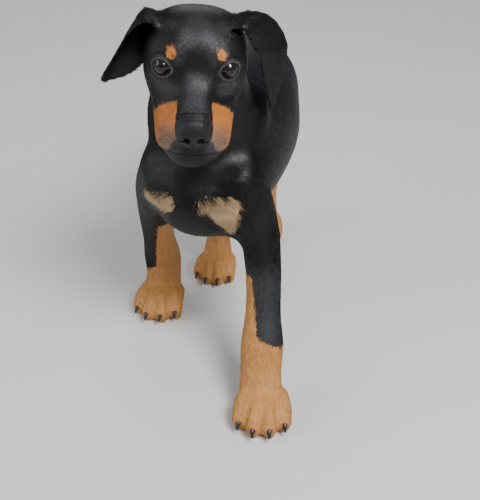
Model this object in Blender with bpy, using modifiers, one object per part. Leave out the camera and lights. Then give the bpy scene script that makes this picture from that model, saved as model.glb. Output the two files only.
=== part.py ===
"""A life-size Doberman pinscher puppy of about nine weeks, trotting with its head up and its ears loose.

The puppy faces -Y, its left side is +X, and it stands on the floor at Z = 0. Sizes are in metres.
The body is modelled whole from lofts and ellipsoids, melted together with Remesh and Smooth modifiers,
and then parted into its named pieces with thin cuts.
"""

import math

import bmesh
import bpy
from mathutils import Matrix, Vector

# Driving sizes
GAP = 0.0003
EYE_RADIUS = 0.0098
LID_RADIUS = 0.0116
EAR_THICKNESS = 0.0032
BODY_VOXEL = 0.0026
HEAD_VOXEL = 0.0015
PAW_VOXEL = 0.0014
WHOLE_VOXEL = 0.0016
WHOLE_TRIANGLES = 8200
FLOOR_CUT = 0.0012

# The head's pose. Its own frame has the muzzle along -Y and lies at the middle of the skull.
HEAD_PLACE = Vector((0.0005, -0.034, 0.3284))
HEAD_YAW = math.radians(11)
HEAD_PITCH = math.radians(22)
HEAD_ROLL = math.radians(4.2)
HEAD_FRAME = (
    Matrix.Translation(HEAD_PLACE)
    @ Matrix.Rotation(HEAD_YAW, 4, "Z")
    @ Matrix.Rotation(HEAD_PITCH, 4, "X")
    @ Matrix.Rotation(HEAD_ROLL, 4, "Y")
)
EYE_PLACE = Vector((0.0264, -0.0213, 0.0118))
EYE_LOOK = Vector((0.33, -0.90, 0.22)).normalized()


def clear_scene():
    for obj in list(bpy.data.objects):
        bpy.data.objects.remove(obj, do_unlink=True)


def new_collection(name, hidden=False):
    collection = bpy.data.collections.new(name)
    collection.hide_render = hidden
    bpy.context.scene.collection.children.link(collection)
    return collection


def add_object(name, mesh, collection):
    obj = bpy.data.objects.new(name, mesh)
    collection.objects.link(obj)
    return obj


def smooth_value(before, start, end, after, t):
    """Catmull-Rom interpolation of one number."""
    return 0.5 * (
        2 * start
        + (end - before) * t
        + (2 * before - 5 * start + 4 * end - after) * t * t
        + (3 * start - before - 3 * end + after) * t ** 3
    )


def smooth_stations(stations, steps):
    """More stations on the same smooth course."""
    last = len(stations) - 1
    found = []
    for i in range(last):
        around = [stations[min(max(j, 0), last)] for j in range(i - 1, i + 3)]
        for k in range(steps):
            found.append(tuple(smooth_value(*values, k / steps) for values in zip(*around)))
    return found + [stations[-1]]


def loft(name, stations, side=(1, 0, 0), sides=24, steps=4, collection=None, cap=0.7):
    """A closed tube with round ends through stations (x, y, z, half width, front half, back half).
    Its half width lies along side, and front is the way of side crossed with the course."""
    rings = smooth_stations(stations, steps)
    side = Vector(side)
    centres = [Vector(ring[:3]) for ring in rings]
    mesh = bpy.data.meshes.new(name)
    bm = bmesh.new()
    made = []

    def add_ring(centre, course, width, front, back):
        across = (side - course * side.dot(course)).normalized()
        forward = across.cross(course).normalized()
        corners = []
        for k in range(sides):
            angle = 2 * math.pi * k / sides
            up = math.sin(angle)
            reach = front if up > 0 else back
            corners.append(bm.verts.new(centre + across * width * math.cos(angle) + forward * reach * up))
        made.append(corners)

    def course_at(i):
        return (centres[min(i + 1, len(centres) - 1)] - centres[max(i - 1, 0)]).normalized()

    def add_cap(i, sign):
        course = course_at(i)
        width, front, back = rings[i][3:]
        depth = cap * min(width, (front + back) / 2)
        turns = (75, 50, 25) if sign < 0 else (25, 50, 75)
        for turn in turns:
            small = math.cos(math.radians(turn))
            centre = centres[i] + course * sign * depth * math.sin(math.radians(turn))
            add_ring(centre, course, width * small, front * small, back * small)
        return bm.verts.new(centres[i] + course * sign * depth)

    first = add_cap(0, -1)
    for i in range(len(rings)):
        add_ring(centres[i], course_at(i), *rings[i][3:])
    last = add_cap(len(rings) - 1, 1)
    for one, two in zip(made, made[1:]):
        for k in range(sides):
            bm.faces.new((one[k], one[(k + 1) % sides], two[(k + 1) % sides], two[k]))
    for k in range(sides):
        bm.faces.new((first, made[0][(k + 1) % sides], made[0][k]))
        bm.faces.new((last, made[-1][k], made[-1][(k + 1) % sides]))
    bmesh.ops.recalc_face_normals(bm, faces=bm.faces)
    bm.to_mesh(mesh)
    bm.free()
    return add_object(name, mesh, collection)


def close_rings(name, rings, collection):
    """A closed mesh over rings of corners, with a fan over the first ring and over the last."""
    bm = bmesh.new()
    made = [[bm.verts.new(corner) for corner in ring] for ring in rings]
    count = len(made[0])
    for one, two in zip(made, made[1:]):
        for k in range(count):
            bm.faces.new((one[k], one[(k + 1) % count], two[(k + 1) % count], two[k]))
    for ring in (made[0], made[-1]):
        middle = bm.verts.new(sum((v.co for v in ring), Vector()) / count)
        for k in range(count):
            bm.faces.new((middle, ring[(k + 1) % count], ring[k]))
    bmesh.ops.recalc_face_normals(bm, faces=bm.faces)
    mesh = bpy.data.meshes.new(name)
    bm.to_mesh(mesh)
    bm.free()
    return add_object(name, mesh, collection)


def hull(name, sections, middle, collection, steps=4, fill=3):
    """A closed form through half sections (y, (x, z) from the top round to the bottom).
    middle gives the X of the midline at each y."""
    flat = [(y, *[number for corner in half for number in corner]) for y, half in sections]
    rings = []
    for numbers in smooth_stations(flat, steps):
        y = numbers[0]
        half = list(zip(numbers[1::2], numbers[2::2]))
        full = half + [(-x, z) for x, z in reversed(half[1:-1])]
        around = smooth_stations([full[-1]] + full + full[:2], fill)[fill:-fill - 1]
        rings.append([(middle(y) + x, y, z) for x, z in around])
    return close_rings(name, rings, collection)


def leaf(name, rows, thickness, frame, collection, across=8, steps=2):
    """A thin closed leaf. Each row has its front edge, its back edge and the bulge between them."""
    flat = [tuple(number for point in row for number in point) for row in rows]
    grid = []
    for numbers in smooth_stations(flat, steps):
        front, back, bulge = (Vector(numbers[i:i + 3]) for i in (0, 3, 6))
        row = []
        for k in range(across + 1):
            t = k / across
            row.append(front.lerp(back, t) + bulge * (4 * t * (1 - t)))
        grid.append(row)
    rings = []
    for i, row in enumerate(grid):
        ahead, behind = grid[min(i + 1, len(grid) - 1)], grid[max(i - 1, 0)]
        outer, inner = [], []
        for k, point in enumerate(row):
            along = ahead[k] - behind[k]
            over = row[min(k + 1, across)] - row[max(k - 1, 0)]
            normal = over.cross(along).normalized()
            t = k / across
            half = thickness * (0.22 + 0.28 * min(1, 6 * t * (1 - t)))
            outer.append(frame @ (point + normal * half))
            inner.append(frame @ (point - normal * half))
        rings.append(outer + inner[::-1])
    return close_rings(name, rings, collection)


def ellipsoid(name, centre, radii, turn=(0, 0, 0), collection=None, rings=16):
    """A closed ellipsoid, with its turn in degrees about X, Y and Z."""
    mesh = bpy.data.meshes.new(name)
    bm = bmesh.new()
    spin = Matrix.Rotation(math.radians(turn[2]), 4, "Z")
    spin = spin @ Matrix.Rotation(math.radians(turn[1]), 4, "Y")
    spin = spin @ Matrix.Rotation(math.radians(turn[0]), 4, "X")
    place = Matrix.Translation(Vector(centre)) @ spin @ Matrix.Diagonal(Vector((*radii, 1)))
    bmesh.ops.create_uvsphere(bm, u_segments=2 * rings, v_segments=rings, radius=1, matrix=place)
    bm.to_mesh(mesh)
    bm.free()
    return add_object(name, mesh, collection)


def both_sides(name, centre, radii, turn=(0, 0, 0), collection=None):
    """The same ellipsoid on the left and on the right."""
    for side in (1, -1):
        place = (side * centre[0], centre[1], centre[2])
        turned = (turn[0], side * turn[1], side * turn[2])
        ellipsoid(name, place, radii, turned, collection)


def evaluated_mesh(obj):
    graph = bpy.context.evaluated_depsgraph_get()
    graph.update()
    return bpy.data.meshes.new_from_object(obj.evaluated_get(graph))


def apply_all(obj):
    """Gives the object the mesh that its modifiers make."""
    made = evaluated_mesh(obj)
    obj.modifiers.clear()
    obj.data = made
    return obj


def melt(name, collection, voxel, smoothing, target, fillet=0.0):
    """Joins a collection's closed forms into one skin. A fillet fills its creases to that radius."""
    bm = bmesh.new()
    for obj in list(collection.objects):
        part = obj.data.copy()
        part.transform(obj.matrix_world)
        bm.from_mesh(part)
        bpy.data.objects.remove(obj, do_unlink=True)
    mesh = bpy.data.meshes.new(name)
    bm.to_mesh(mesh)
    bm.free()
    joined = add_object(name, mesh, target)
    for reach in ((0, fillet, -fillet) if fillet else (0,)):
        if reach:
            swell = joined.modifiers.new("swell", "DISPLACE")
            swell.mid_level = 0
            swell.strength = reach
        remesh = joined.modifiers.new("melt", "REMESH")
        remesh.mode = "VOXEL"
        remesh.voxel_size = voxel
        soften = joined.modifiers.new("soften", "SMOOTH")
        soften.factor = 0.5
        soften.iterations = 3
    soften.iterations = smoothing
    return apply_all(joined)


def cut(obj, cutter, operation="DIFFERENCE", solver="EXACT"):
    boolean = obj.modifiers.new("cut", "BOOLEAN")
    boolean.operation = operation
    boolean.solver = solver
    boolean.object = cutter
    return apply_all(obj)


# Trunk, neck and upper legs


def bend(y):
    """How far the spine lies to the left at this length of the body."""
    return 0.010 * math.sin(math.pi * (y + 0.06) / 0.32)


TRUNK = (
    (-0.061, ((0, .196), (.003, .196), (.005, .194), (.006, .192), (.007, .190), (.006, .187), (.005, .185),
              (.003, .184), (0, .184))),
    (-0.054, ((0, .209), (.010, .208), (.019, .204), (.025, .197), (.028, .188), (.026, .178), (.020, .171),
              (.010, .167), (0, .166))),
    (-0.040, ((0, .232), (.015, .230), (.028, .222), (.038, .210), (.043, .195), (.041, .179), (.033, .164),
              (.018, .154), (0, .151))),
    (-0.018, ((0, .262), (.017, .259), (.034, .248), (.047, .229), (.053, .205), (.051, .183), (.042, .162),
              (.023, .147), (0, .143))),
    (0.005, ((0, .283), (.016, .280), (.034, .266), (.050, .242), (.057, .213), (.056, .186), (.046, .161),
             (.026, .144), (0, .139))),
    (0.035, ((0, .290), (.014, .287), (.032, .273), (.050, .247), (.059, .216), (.059, .187), (.049, .160),
             (.028, .143), (0, .138))),
    (0.075, ((0, .286), (.014, .284), (.033, .272), (.052, .248), (.063, .218), (.064, .188), (.053, .160),
             (.030, .143), (0, .138))),
    (0.115, ((0, .283), (.016, .281), (.035, .270), (.055, .247), (.066, .217), (.066, .188), (.054, .162),
             (.031, .147), (0, .142))),
    (0.148, ((0, .281), (.017, .279), (.036, .268), (.054, .247), (.063, .220), (.061, .193), (.050, .170),
             (.028, .157), (0, .153))),
    (0.180, ((0, .277), (.018, .274), (.038, .263), (.053, .245), (.060, .222), (.057, .199), (.046, .182),
             (.025, .172), (0, .169))),
    (0.208, ((0, .268), (.018, .265), (.036, .255), (.049, .239), (.055, .219), (.052, .201), (.041, .188),
             (.022, .181), (0, .179))),
    (0.230, ((0, .254), (.014, .251), (.028, .243), (.039, .230), (.044, .214), (.041, .200), (.031, .190),
             (.017, .185), (0, .184))),
    (0.246, ((0, .236), (.006, .235), (.012, .231), (.017, .224), (.019, .214), (.017, .205), (.013, .199),
             (.007, .196), (0, .196))),
)


def trunk_forms(forms):
    """The barrel of the body, its shoulder blades, the points of its shoulders and its haunches."""
    hull("barrel", TRUNK, bend, forms)
    both_sides("shoulder_blade", (0.036, 0.012, 0.238), (0.020, 0.036, 0.050), (-24, 12, 0), forms)
    both_sides("shoulder_point", (0.034, -0.018, 0.194), (0.022, 0.026, 0.030), collection=forms)
    both_sides("elbow", (0.056, -0.004, 0.160), (0.009, 0.012, 0.014), (-30, 0, 0), forms)
    ellipsoid("tail_root", (0, 0.234, 0.236), (0.016, 0.020, 0.015), (45, 0, 0), forms)


def neck_forms(forms):
    stations = (
        (0.000, 0.034, 0.210, 0.050, 0.056, 0.058),
        (0.001, 0.016, 0.246, 0.046, 0.050, 0.056),
        (0.002, 0.002, 0.280, 0.041, 0.042, 0.049),
        (0.002, -0.010, 0.310, 0.037, 0.028, 0.036),
    )
    loft("neck", stations, side=(-1, 0, 0), collection=forms, sides=28)


# Each foreleg runs from the shoulder's joint to the wrist and on to the root of the paw
FORELEGS = {
    "left": (
        (0.036, -0.018, 0.216, 0.022, 0.024, 0.034),
        (0.048, -0.022, 0.184, 0.022, 0.024, 0.032),
        (0.058, -0.027, 0.154, 0.0195, 0.0200, 0.0240),
        (0.064, -0.044, 0.122, 0.0178, 0.0178, 0.0190),
        (0.067, -0.063, 0.090, 0.0176, 0.0158, 0.0162),
        (0.069, -0.080, 0.063, 0.0212, 0.0165, 0.0172),
        (0.070, -0.093, 0.044, 0.0205, 0.0142, 0.0146),
        (0.072, -0.107, 0.027, 0.0212, 0.0135, 0.0132),
    ),
    "right": (
        (-0.038, -0.008, 0.216, 0.022, 0.026, 0.034),
        (-0.050, 0.006, 0.184, 0.022, 0.024, 0.032),
        (-0.058, 0.024, 0.154, 0.0195, 0.0200, 0.0240),
        (-0.062, 0.038, 0.122, 0.0178, 0.0178, 0.0190),
        (-0.064, 0.052, 0.090, 0.0176, 0.0158, 0.0162),
        (-0.064, 0.062, 0.063, 0.0208, 0.0165, 0.0172),
        (-0.063, 0.061, 0.043, 0.0200, 0.0142, 0.0146),
        (-0.063, 0.054, 0.026, 0.0205, 0.0135, 0.0132),
    ),
}

# Each hind leg runs from the hip to the knee, the hock and the root of the paw
HINDLEGS = {
    "left": (
        (0.032, 0.196, 0.222, 0.024, 0.040, 0.036),
        (0.037, 0.196, 0.192, 0.0255, 0.043, 0.042),
        (0.042, 0.186, 0.162, 0.0225, 0.032, 0.038),
        (0.041, 0.196, 0.130, 0.0165, 0.0205, 0.0250),
        (0.033, 0.222, 0.101, 0.0128, 0.0140, 0.0165),
        (0.028, 0.240, 0.080, 0.0128, 0.0135, 0.0160),
        (0.025, 0.238, 0.052, 0.0128, 0.0118, 0.0122),
        (0.024, 0.231, 0.025, 0.0168, 0.0125, 0.0125),
    ),
    "right": (
        (-0.032, 0.196, 0.224, 0.024, 0.042, 0.038),
        (-0.037, 0.186, 0.194, 0.0255, 0.043, 0.046),
        (-0.040, 0.160, 0.166, 0.0225, 0.032, 0.040),
        (-0.037, 0.154, 0.130, 0.0165, 0.0210, 0.0260),
        (-0.029, 0.164, 0.101, 0.0126, 0.0140, 0.0168),
        (-0.024, 0.172, 0.080, 0.0128, 0.0135, 0.0162),
        (-0.020, 0.156, 0.052, 0.0128, 0.0118, 0.0122),
        (-0.017, 0.136, 0.025, 0.0168, 0.0125, 0.0125),
    ),
}
HOCKS = ((0.027, 0.246, 0.087), (-0.024, 0.179, 0.088))

TAIL = (
    (0.000, 0.230, 0.241, 0.0125, 0.0125, 0.0125),
    (0.000, 0.250, 0.232, 0.0108, 0.0108, 0.0108),
    (0.000, 0.265, 0.215, 0.0090, 0.0090, 0.0090),
    (0.002, 0.275, 0.193, 0.0074, 0.0074, 0.0074),
    (0.005, 0.282, 0.167, 0.0063, 0.0063, 0.0063),
    (0.008, 0.290, 0.142, 0.0053, 0.0053, 0.0053),
    (0.010, 0.302, 0.121, 0.0040, 0.0040, 0.0040),
)


def leg_forms(forms, first, last):
    """A stretch of all four legs, from station first up to last."""
    for legs in (FORELEGS, HINDLEGS):
        for side, stations in legs.items():
            loft("leg_" + side, stations[first:last], side=(1, 0, 0), collection=forms)
    if last > 5:
        for place in HOCKS:
            ellipsoid("hock", place, (0.0072, 0.0090, 0.0130), (-24, 0, 0), forms)


# Paws


def paw_frame(place, heading):
    return Matrix.Translation(Vector(place)) @ Matrix.Rotation(math.radians(heading), 4, "Z")


PAWS = {
    "forepaw_left": (paw_frame((0.076, -0.119, 0), 6), 1.12),
    "forepaw_right": (paw_frame((-0.063, 0.042, 0), -4), 1.10),
    "hindpaw_left": (paw_frame((0.024, 0.221, 0), 5), 0.98),
    "hindpaw_right": (paw_frame((-0.016, 0.120, 0), -2), 0.98),
}
TOES = ((-0.0150, 0.0085, -10), (-0.0056, 0.0, -3), (0.0056, 0.0, 3), (0.0150, 0.0085, 10))


def toe_frame(frame, size, toe):
    """Where a toe starts and points, in the world."""
    x, back, splay = toe
    place = Matrix.Translation(Vector((x, back, 0)))
    return frame @ Matrix.Scale(size, 4) @ place @ Matrix.Rotation(math.radians(splay), 4, "Z")


def paw_forms(forms, frame, size):
    """The back of the foot, four toes with their knuckles, and the pads below."""
    scaled = frame @ Matrix.Scale(size, 4)
    made = [
        loft(
            "foot_back",
            (
                (0, 0.016, 0.024, 0.0170, 0.011, 0.012),
                (0, 0.006, 0.021, 0.0185, 0.012, 0.014),
                (0, -0.006, 0.018, 0.0185, 0.010, 0.013),
            ),
            side=(-1, 0, 0),
            collection=forms,
        ),
        ellipsoid("main_pad", (0, 0.010, 0.0075), (0.0145, 0.0110, 0.0088), collection=forms),
    ]
    for obj in made:
        obj.matrix_world = scaled
    for toe in TOES:
        toe_place = toe_frame(frame, size, toe)
        knuckle = loft(
            "toe",
            (
                (0, 0.004, 0.0200, 0.0076, 0.0080, 0.0090),
                (0, -0.007, 0.0205, 0.0080, 0.0080, 0.0105),
                (0, -0.016, 0.0160, 0.0080, 0.0080, 0.0108),
                (0, -0.0220, 0.0112, 0.0068, 0.0066, 0.0082),
            ),
            side=(-1, 0, 0),
            collection=forms,
        )
        knuckle.matrix_world = toe_place
        pad = ellipsoid("toe_pad", (0, -0.0160, 0.0050), (0.0066, 0.0085, 0.0062), collection=forms)
        pad.matrix_world = toe_place
    bpy.context.view_layer.update()


def claw(name, place, collection):
    """A short curved claw, blunt at its tip."""
    rings = []
    for y, z, width, height in (
        (-0.0190, 0.0135, 0.0027, 0.0029),
        (-0.0254, 0.0126, 0.0024, 0.0027),
        (-0.0284, 0.0104, 0.0018, 0.0020),
        (-0.0298, 0.0080, 0.0010, 0.0010),
    ):
        turns = [math.pi * k / 3 for k in range(6)]
        rings.append([place @ Vector((width * math.cos(t), y, z + height * math.sin(t))) for t in turns])
    return close_rings(name, rings, collection)


# Head


# Half sections from the occiput to the front of the lips, from the top round to under the jaw
HEAD = (
    (0.055, ((0, .002), (.002, .002), (.004, .001), (.005, -.001), (.006, -.003), (.005, -.005), (.004, -.007),
             (.003, -.007), (.002, -.008), (0, -.008))),
    (0.048, ((0, .016), (.010, .015), (.018, .011), (.024, .004), (.026, -.004), (.024, -.011), (.018, -.016),
             (.013, -.018), (.008, -.020), (0, -.021))),
    (0.038, ((0, .028), (.013, .027), (.025, .022), (.034, .013), (.037, .001), (.035, -.011), (.028, -.020),
             (.021, -.024), (.013, -.027), (0, -.029))),
    (0.026, ((0, .036), (.016, .035), (.030, .029), (.039, .018), (.042, .004), (.040, -.011), (.033, -.022),
             (.026, -.028), (.016, -.032), (0, -.034))),
    (0.012, ((0, .040), (.017, .039), (.031, .033), (.041, .021), (.045, .005), (.044, -.011), (.037, -.025),
             (.029, -.032), (.018, -.037), (0, -.040))),
    (-0.002, ((0, .039), (.016, .038), (.030, .033), (.041, .021), (.0455, .005), (.045, -.012), (.039, -.026),
              (.031, -.035), (.019, -.041), (0, -.044))),
    (-0.014, ((0, .035), (.014, .0345), (.027, .030), (.038, .020), (.043, .005), (.0435, -.013), (.038, -.028),
              (.030, -.037), (.019, -.044), (0, -.047))),
    (-0.024, ((0, .027), (.011, .0275), (.022, .025), (.032, .016), (.0385, .003), (.040, -.014), (.036, -.030),
              (.028, -.039), (.018, -.046), (0, -.050))),
    (-0.032, ((0, .016), (.009, .016), (.018, .013), (.026, .004), (.0325, -.006), (.036, -.018), (.034, -.032),
              (.026, -.040), (.017, -.047), (0, -.052))),
    (-0.042, ((0, .008), (.0075, .0075), (.0135, .004), (.0195, -.004), (.0270, -.013), (.0335, -.024),
              (.0340, -.036), (.0265, -.042), (.0185, -.048), (0, -.052))),
    (-0.054, ((0, .0045), (.0075, .0035), (.0130, -.0005), (.0180, -.008), (.0255, -.017), (.0320, -.028),
              (.0325, -.040), (.0255, -.045), (.0180, -.0515), (0, -.0558))),
    (-0.065, ((0, .002), (.0075, .001), (.0125, -.003), (.0170, -.010), (.0240, -.019), (.0295, -.030),
              (.0300, -.0405), (.0240, -.047), (.0178, -.054), (0, -.0590))),
    (-0.073, ((0, -.001), (.0070, -.002), (.0115, -.006), (.0145, -.013), (.0200, -.022), (.0240, -.031),
              (.0240, -.040), (.0205, -.047), (.0155, -.055), (0, -.0605))),
    (-0.0775, ((0, -.007), (.0045, -.008), (.0075, -.011), (.0095, -.017), (.0135, -.025), (.0160, -.032),
               (.0155, -.038), (.0140, -.046), (.0105, -.052), (0, -.0560))),
    (-0.0795, ((0, -.018), (.0015, -.018), (.0030, -.020), (.0040, -.024), (.0055, -.029), (.0065, -.033),
               (.0060, -.037), (.0050, -.042), (.0030, -.045), (0, -.0465))),
)


def head_forms(forms):
    """The head from its sections, with brows and the swell under each eye, in the head's own frame."""
    hull("skull", HEAD, lambda y: 0, forms)
    both_sides("brow", (0.0200, -0.0215, 0.0190), (0.0100, 0.0080, 0.0070), (0, -24, 14), forms)
    both_sides("cheek_arch", (0.0350, -0.0120, -0.0020), (0.0080, 0.0180, 0.0090), (0, 0, -14), forms)
    ellipsoid("nape", (0, 0.026, -0.030), (0.037, 0.028, 0.044), (16, 0, 0), forms)
    both_sides("orbit", (0.0250, -0.0165, 0.0105), (0.0150, 0.0100, 0.0140), (0, 0, -16), forms)
    for side in (1, -1):
        lids = ellipsoid("lids", (0, 0, 0), (LID_RADIUS,) * 3, collection=forms)
        lids.matrix_world = Matrix.Translation(Vector((side * EYE_PLACE.x, EYE_PLACE.y, EYE_PLACE.z)))


def eye_spin(side):
    """Turns a form's -Y way to the way that this eye looks."""
    look = Vector((side * EYE_LOOK.x, EYE_LOOK.y, EYE_LOOK.z))
    return Vector((0, -1, 0)).rotation_difference(look).to_matrix().to_4x4()


def eye_matrix(side):
    place = Vector((side * EYE_PLACE.x, EYE_PLACE.y, EYE_PLACE.z))
    return HEAD_FRAME @ Matrix.Translation(place) @ eye_spin(side)


EARS = {
    "right": (
        ((-0.023, -0.001, 0.027), (-0.030, 0.030, 0.011), (0.000, 0.004, 0.004)),
        ((-0.040, -0.002, 0.0385), (-0.041, 0.034, 0.013), (-0.003, 0.006, 0.006)),
        ((-0.052, 0.000, 0.031), (-0.045, 0.030, -0.003), (-0.005, 0.007, 0.004)),
        ((-0.062, 0.001, 0.013), (-0.0468, 0.014, -0.018), (-0.005, 0.007, 0.001)),
        ((-0.072, 0.000, -0.008), (-0.0570, 0.008, -0.0300), (-0.004, 0.005, 0.000)),
        ((-0.079, 0.000, -0.023), (-0.069, 0.006, -0.0355), (-0.002, 0.003, 0.000)),
        ((-0.0825, 0.000, -0.0320), (-0.0800, 0.001, -0.0355), (0.000, 0.000, 0.000)),
    ),
    "left": (
        ((0.023, -0.001, 0.027), (0.030, 0.030, 0.012), (0.000, 0.004, 0.004)),
        ((0.041, -0.003, 0.0375), (0.050, 0.033, 0.023), (0.003, 0.002, 0.007)),
        ((0.051, -0.003, 0.025), (0.067, 0.033, 0.017), (0.006, 0.000, 0.006)),
        ((0.056, -0.004, 0.004), (0.080, 0.030, -0.003), (0.007, -0.002, 0.003)),
        ((0.060, -0.005, -0.016), (0.080, 0.023, -0.024), (0.005, -0.003, 0.000)),
        ((0.065, -0.005, -0.036), (0.076, 0.012, -0.042), (0.003, -0.002, 0.000)),
        ((0.0700, -0.003, -0.0560), (0.0730, 0.001, -0.0565), (0.000, 0.000, 0.000)),
    ),
}


# Eyes and nose


def eyeball(name, side, collection):
    """A round eye with the low swell of its cornea."""
    mesh = bpy.data.meshes.new(name)
    bm = bmesh.new()
    bmesh.ops.create_uvsphere(bm, u_segments=16, v_segments=12, radius=EYE_RADIUS)
    for v in bm.verts:
        swell = max(0, (v.co.z / EYE_RADIUS - 0.80) / 0.20)
        v.co *= 1 + 0.075 * swell * (2 - swell)
    bm.to_mesh(mesh)
    bm.free()
    mesh.transform(eye_matrix(side) @ Matrix.Rotation(math.radians(90), 4, "X"))
    return add_object(name, mesh, collection)


def eye_opening(side, collection):
    """The almond between the lids, as a cutter that runs out from inside the eye."""
    rings = []
    for y, size in ((-0.0040, 0.94), (-0.0150, 1.06)):
        ring = []
        for k in range(20):
            turn = 2 * math.pi * k / 20
            x = 0.0086 * math.cos(turn)
            z = 0.0068 * math.sin(turn) * (1 - 0.22 * math.cos(turn) ** 2)
            ring.append(eye_matrix(side) @ Vector((x * size, y, (z + side * x * 0.08) * size)))
        rings.append(ring)
    return close_rings("opening", rings, collection)


NOSE = (
    (-0.058, ((0, .002), (.0055, .001), (.0095, -.002), (.0118, -.008), (.0115, -.014), (.0080, -.020),
              (0, -.022))),
    (-0.064, ((0, .0030), (.0065, .002), (.0112, -.0015), (.0142, -.008), (.0142, -.015), (.0085, -.0225),
              (0, -.0245))),
    (-0.072, ((0, .0015), (.0070, .0005), (.0122, -.003), (.0160, -.0095), (.0158, -.016), (.0090, -.0240),
              (0, -.0260))),
    (-0.0785, ((0, -.0018), (.0068, -.0028), (.0115, -.0058), (.0150, -.0115), (.0146, -.0175), (.0078, -.0245),
               (0, -.0265))),
    (-0.0825, ((0, -.0052), (.0055, -.0060), (.0095, -.0085), (.0120, -.0130), (.0112, -.0180), (.0062, -.0232),
               (0, -.0255))),
    (-0.0848, ((0, -.0098), (.0036, -.0102), (.0062, -.0116), (.0076, -.0142), (.0070, -.0172), (.0040, -.0205),
               (0, -.0222))),
)


def nose_form(collection, helpers):
    """The nose's leather, with its nostrils and the groove below them."""
    nose = hull("nose", NOSE, lambda y: 0, collection, steps=2, fill=1)
    for side in (1, -1):
        for place, radii, turn in (
            ((0.0062, -0.0845, -0.0142), (0.0031, 0.0062, 0.0034), 0),
            ((0.0112, -0.0805, -0.0168), (0.0046, 0.0056, 0.0013), 24),
        ):
            place = (side * place[0], *place[1:])
            cut(nose, ellipsoid("hole", place, radii, (0, side * turn, side * 32), helpers, rings=6))
    groove = ellipsoid("groove", (0, -0.0862, -0.0215), (0.0007, 0.0045, 0.0072), (0, 0, 0), helpers, rings=6)
    cut(nose, groove)
    nose.data.transform(HEAD_FRAME)
    return nose


# Parting into pieces


def prism(outline, low, high, collection, frame=Matrix.Identity(4)):
    """A cutter with a side outline of (y, z) corners, from X low up to X high."""
    rings = [[frame @ Vector((x, y, z)) for y, z in outline] for x in (low, high)]
    bm = bmesh.new()
    sides = [[bm.verts.new(corner) for corner in ring] for ring in rings]
    count = len(outline)
    for k in range(count):
        bm.faces.new((sides[0][k], sides[0][(k + 1) % count], sides[1][(k + 1) % count], sides[1][k]))
    for side in sides:
        bm.faces.new(side)
    bmesh.ops.recalc_face_normals(bm, faces=bm.faces)
    bmesh.ops.triangulate(bm, faces=bm.faces)
    mesh = bpy.data.meshes.new("cutter")
    bm.to_mesh(mesh)
    bm.free()
    return add_object("cutter", mesh, collection)


def grown(obj, reach, collection):
    """A copy with its surface moved outward by reach."""
    bm = bmesh.new()
    bm.from_mesh(obj.data)
    bm.normal_update()
    moves = [v.normal * (reach * min(v.calc_shell_factor(), 3)) for v in bm.verts]
    for v, move in zip(bm.verts, moves):
        v.co += move
    mesh = bpy.data.meshes.new(obj.name + "_grown")
    bm.to_mesh(mesh)
    bm.free()
    return add_object(mesh.name, mesh, collection)


def take(source, name, cutter, collection):
    """Moves the part of source inside the cutter to a new piece, with a thin gap between them."""
    piece = add_object(name, source.data.copy(), collection)
    cut(piece, cutter, "INTERSECT")
    cut(source, grown(cutter, GAP, cutter.users_collection[0]))
    return piece


def largest_only(obj):
    """Keeps an object's largest closed surface."""
    bm = bmesh.new()
    bm.from_mesh(obj.data)
    left, groups = set(bm.verts), []
    while left:
        found, edge = set(), [left.pop()]
        while edge:
            v = edge.pop()
            found.add(v)
            for e in v.link_edges:
                other = e.other_vert(v)
                if other in left:
                    left.remove(other)
                    edge.append(other)
        groups.append(found)
    groups.sort(key=len)
    bmesh.ops.delete(bm, geom=[v for group in groups[:-1] for v in group], context="VERTS")
    bm.to_mesh(obj.data)
    bm.free()


HEAD_CUT = ((0.075, 0.070), (-0.120, 0.070), (-0.120, -0.078), (-0.040, -0.070), (-0.008, -0.060),
            (0.012, -0.040), (0.040, -0.004), (0.052, 0.012), (0.075, 0.022))
JAW_CUT = ((-0.030, -0.0350), (-0.044, -0.0405), (-0.058, -0.0425), (-0.070, -0.0400), (-0.077, -0.0372),
           (-0.110, -0.0372), (-0.110, -0.0850), (-0.010, -0.0850), (-0.010, -0.0420), (-0.018, -0.0370))
NECK_CUT = ((0.090, 0.400), (-0.110, 0.400), (-0.110, 0.196), (-0.062, 0.206), (-0.012, 0.238),
            (0.022, 0.268), (0.044, 0.300))
TAIL_CUT = ((0.246, 0.262), (0.238, 0.246), (0.2365, 0.228), (0.262, 0.215), (0.262, 0.080), (0.340, 0.080),
            (0.340, 0.262))
PAW_CUTS = {
    "forepaw_left": (((-0.170, -0.1), (-0.070, -0.1), (-0.070, 0.030), (-0.092, 0.038), (-0.170, 0.038)),
                     0.03, 0.12),
    "forepaw_right": (((0.000, -0.1), (0.090, -0.1), (0.090, 0.034), (0.000, 0.034)), -0.11, -0.02),
    "hindpaw_left": (((0.176, -0.1), (0.260, -0.1), (0.260, 0.034), (0.176, 0.034)), -0.01, 0.06),
    "hindpaw_right": (((0.070, -0.1), (0.160, -0.1), (0.160, 0.034), (0.070, 0.034)), -0.06, 0.02),
}
LEG_CUTS = {
    "foreleg_left": (((-0.150, 0.0), (0.012, 0.0), (0.012, 0.172), (-0.064, 0.172), (-0.150, 0.090)),
                     0.035, 0.2),
    "foreleg_right": (((-0.020, 0.0), (0.100, 0.0), (0.100, 0.120), (0.062, 0.172), (-0.030, 0.172)),
                      -0.2, -0.035),
    "hindleg_left": (((0.140, 0.0), (0.280, 0.0), (0.280, 0.204), (0.175, 0.204), (0.146, 0.170),
                      (0.140, 0.120)), 0.0, 0.2),
    "hindleg_right": (((0.080, 0.0), (0.280, 0.0), (0.280, 0.204), (0.152, 0.204), (0.126, 0.172),
                       (0.100, 0.100)), -0.2, 0.0),
}


def finish_piece(obj, material):
    obj.data.materials.clear()
    obj.data.materials.append(material)
    for polygon in obj.data.polygons:
        polygon.use_smooth = False


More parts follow.
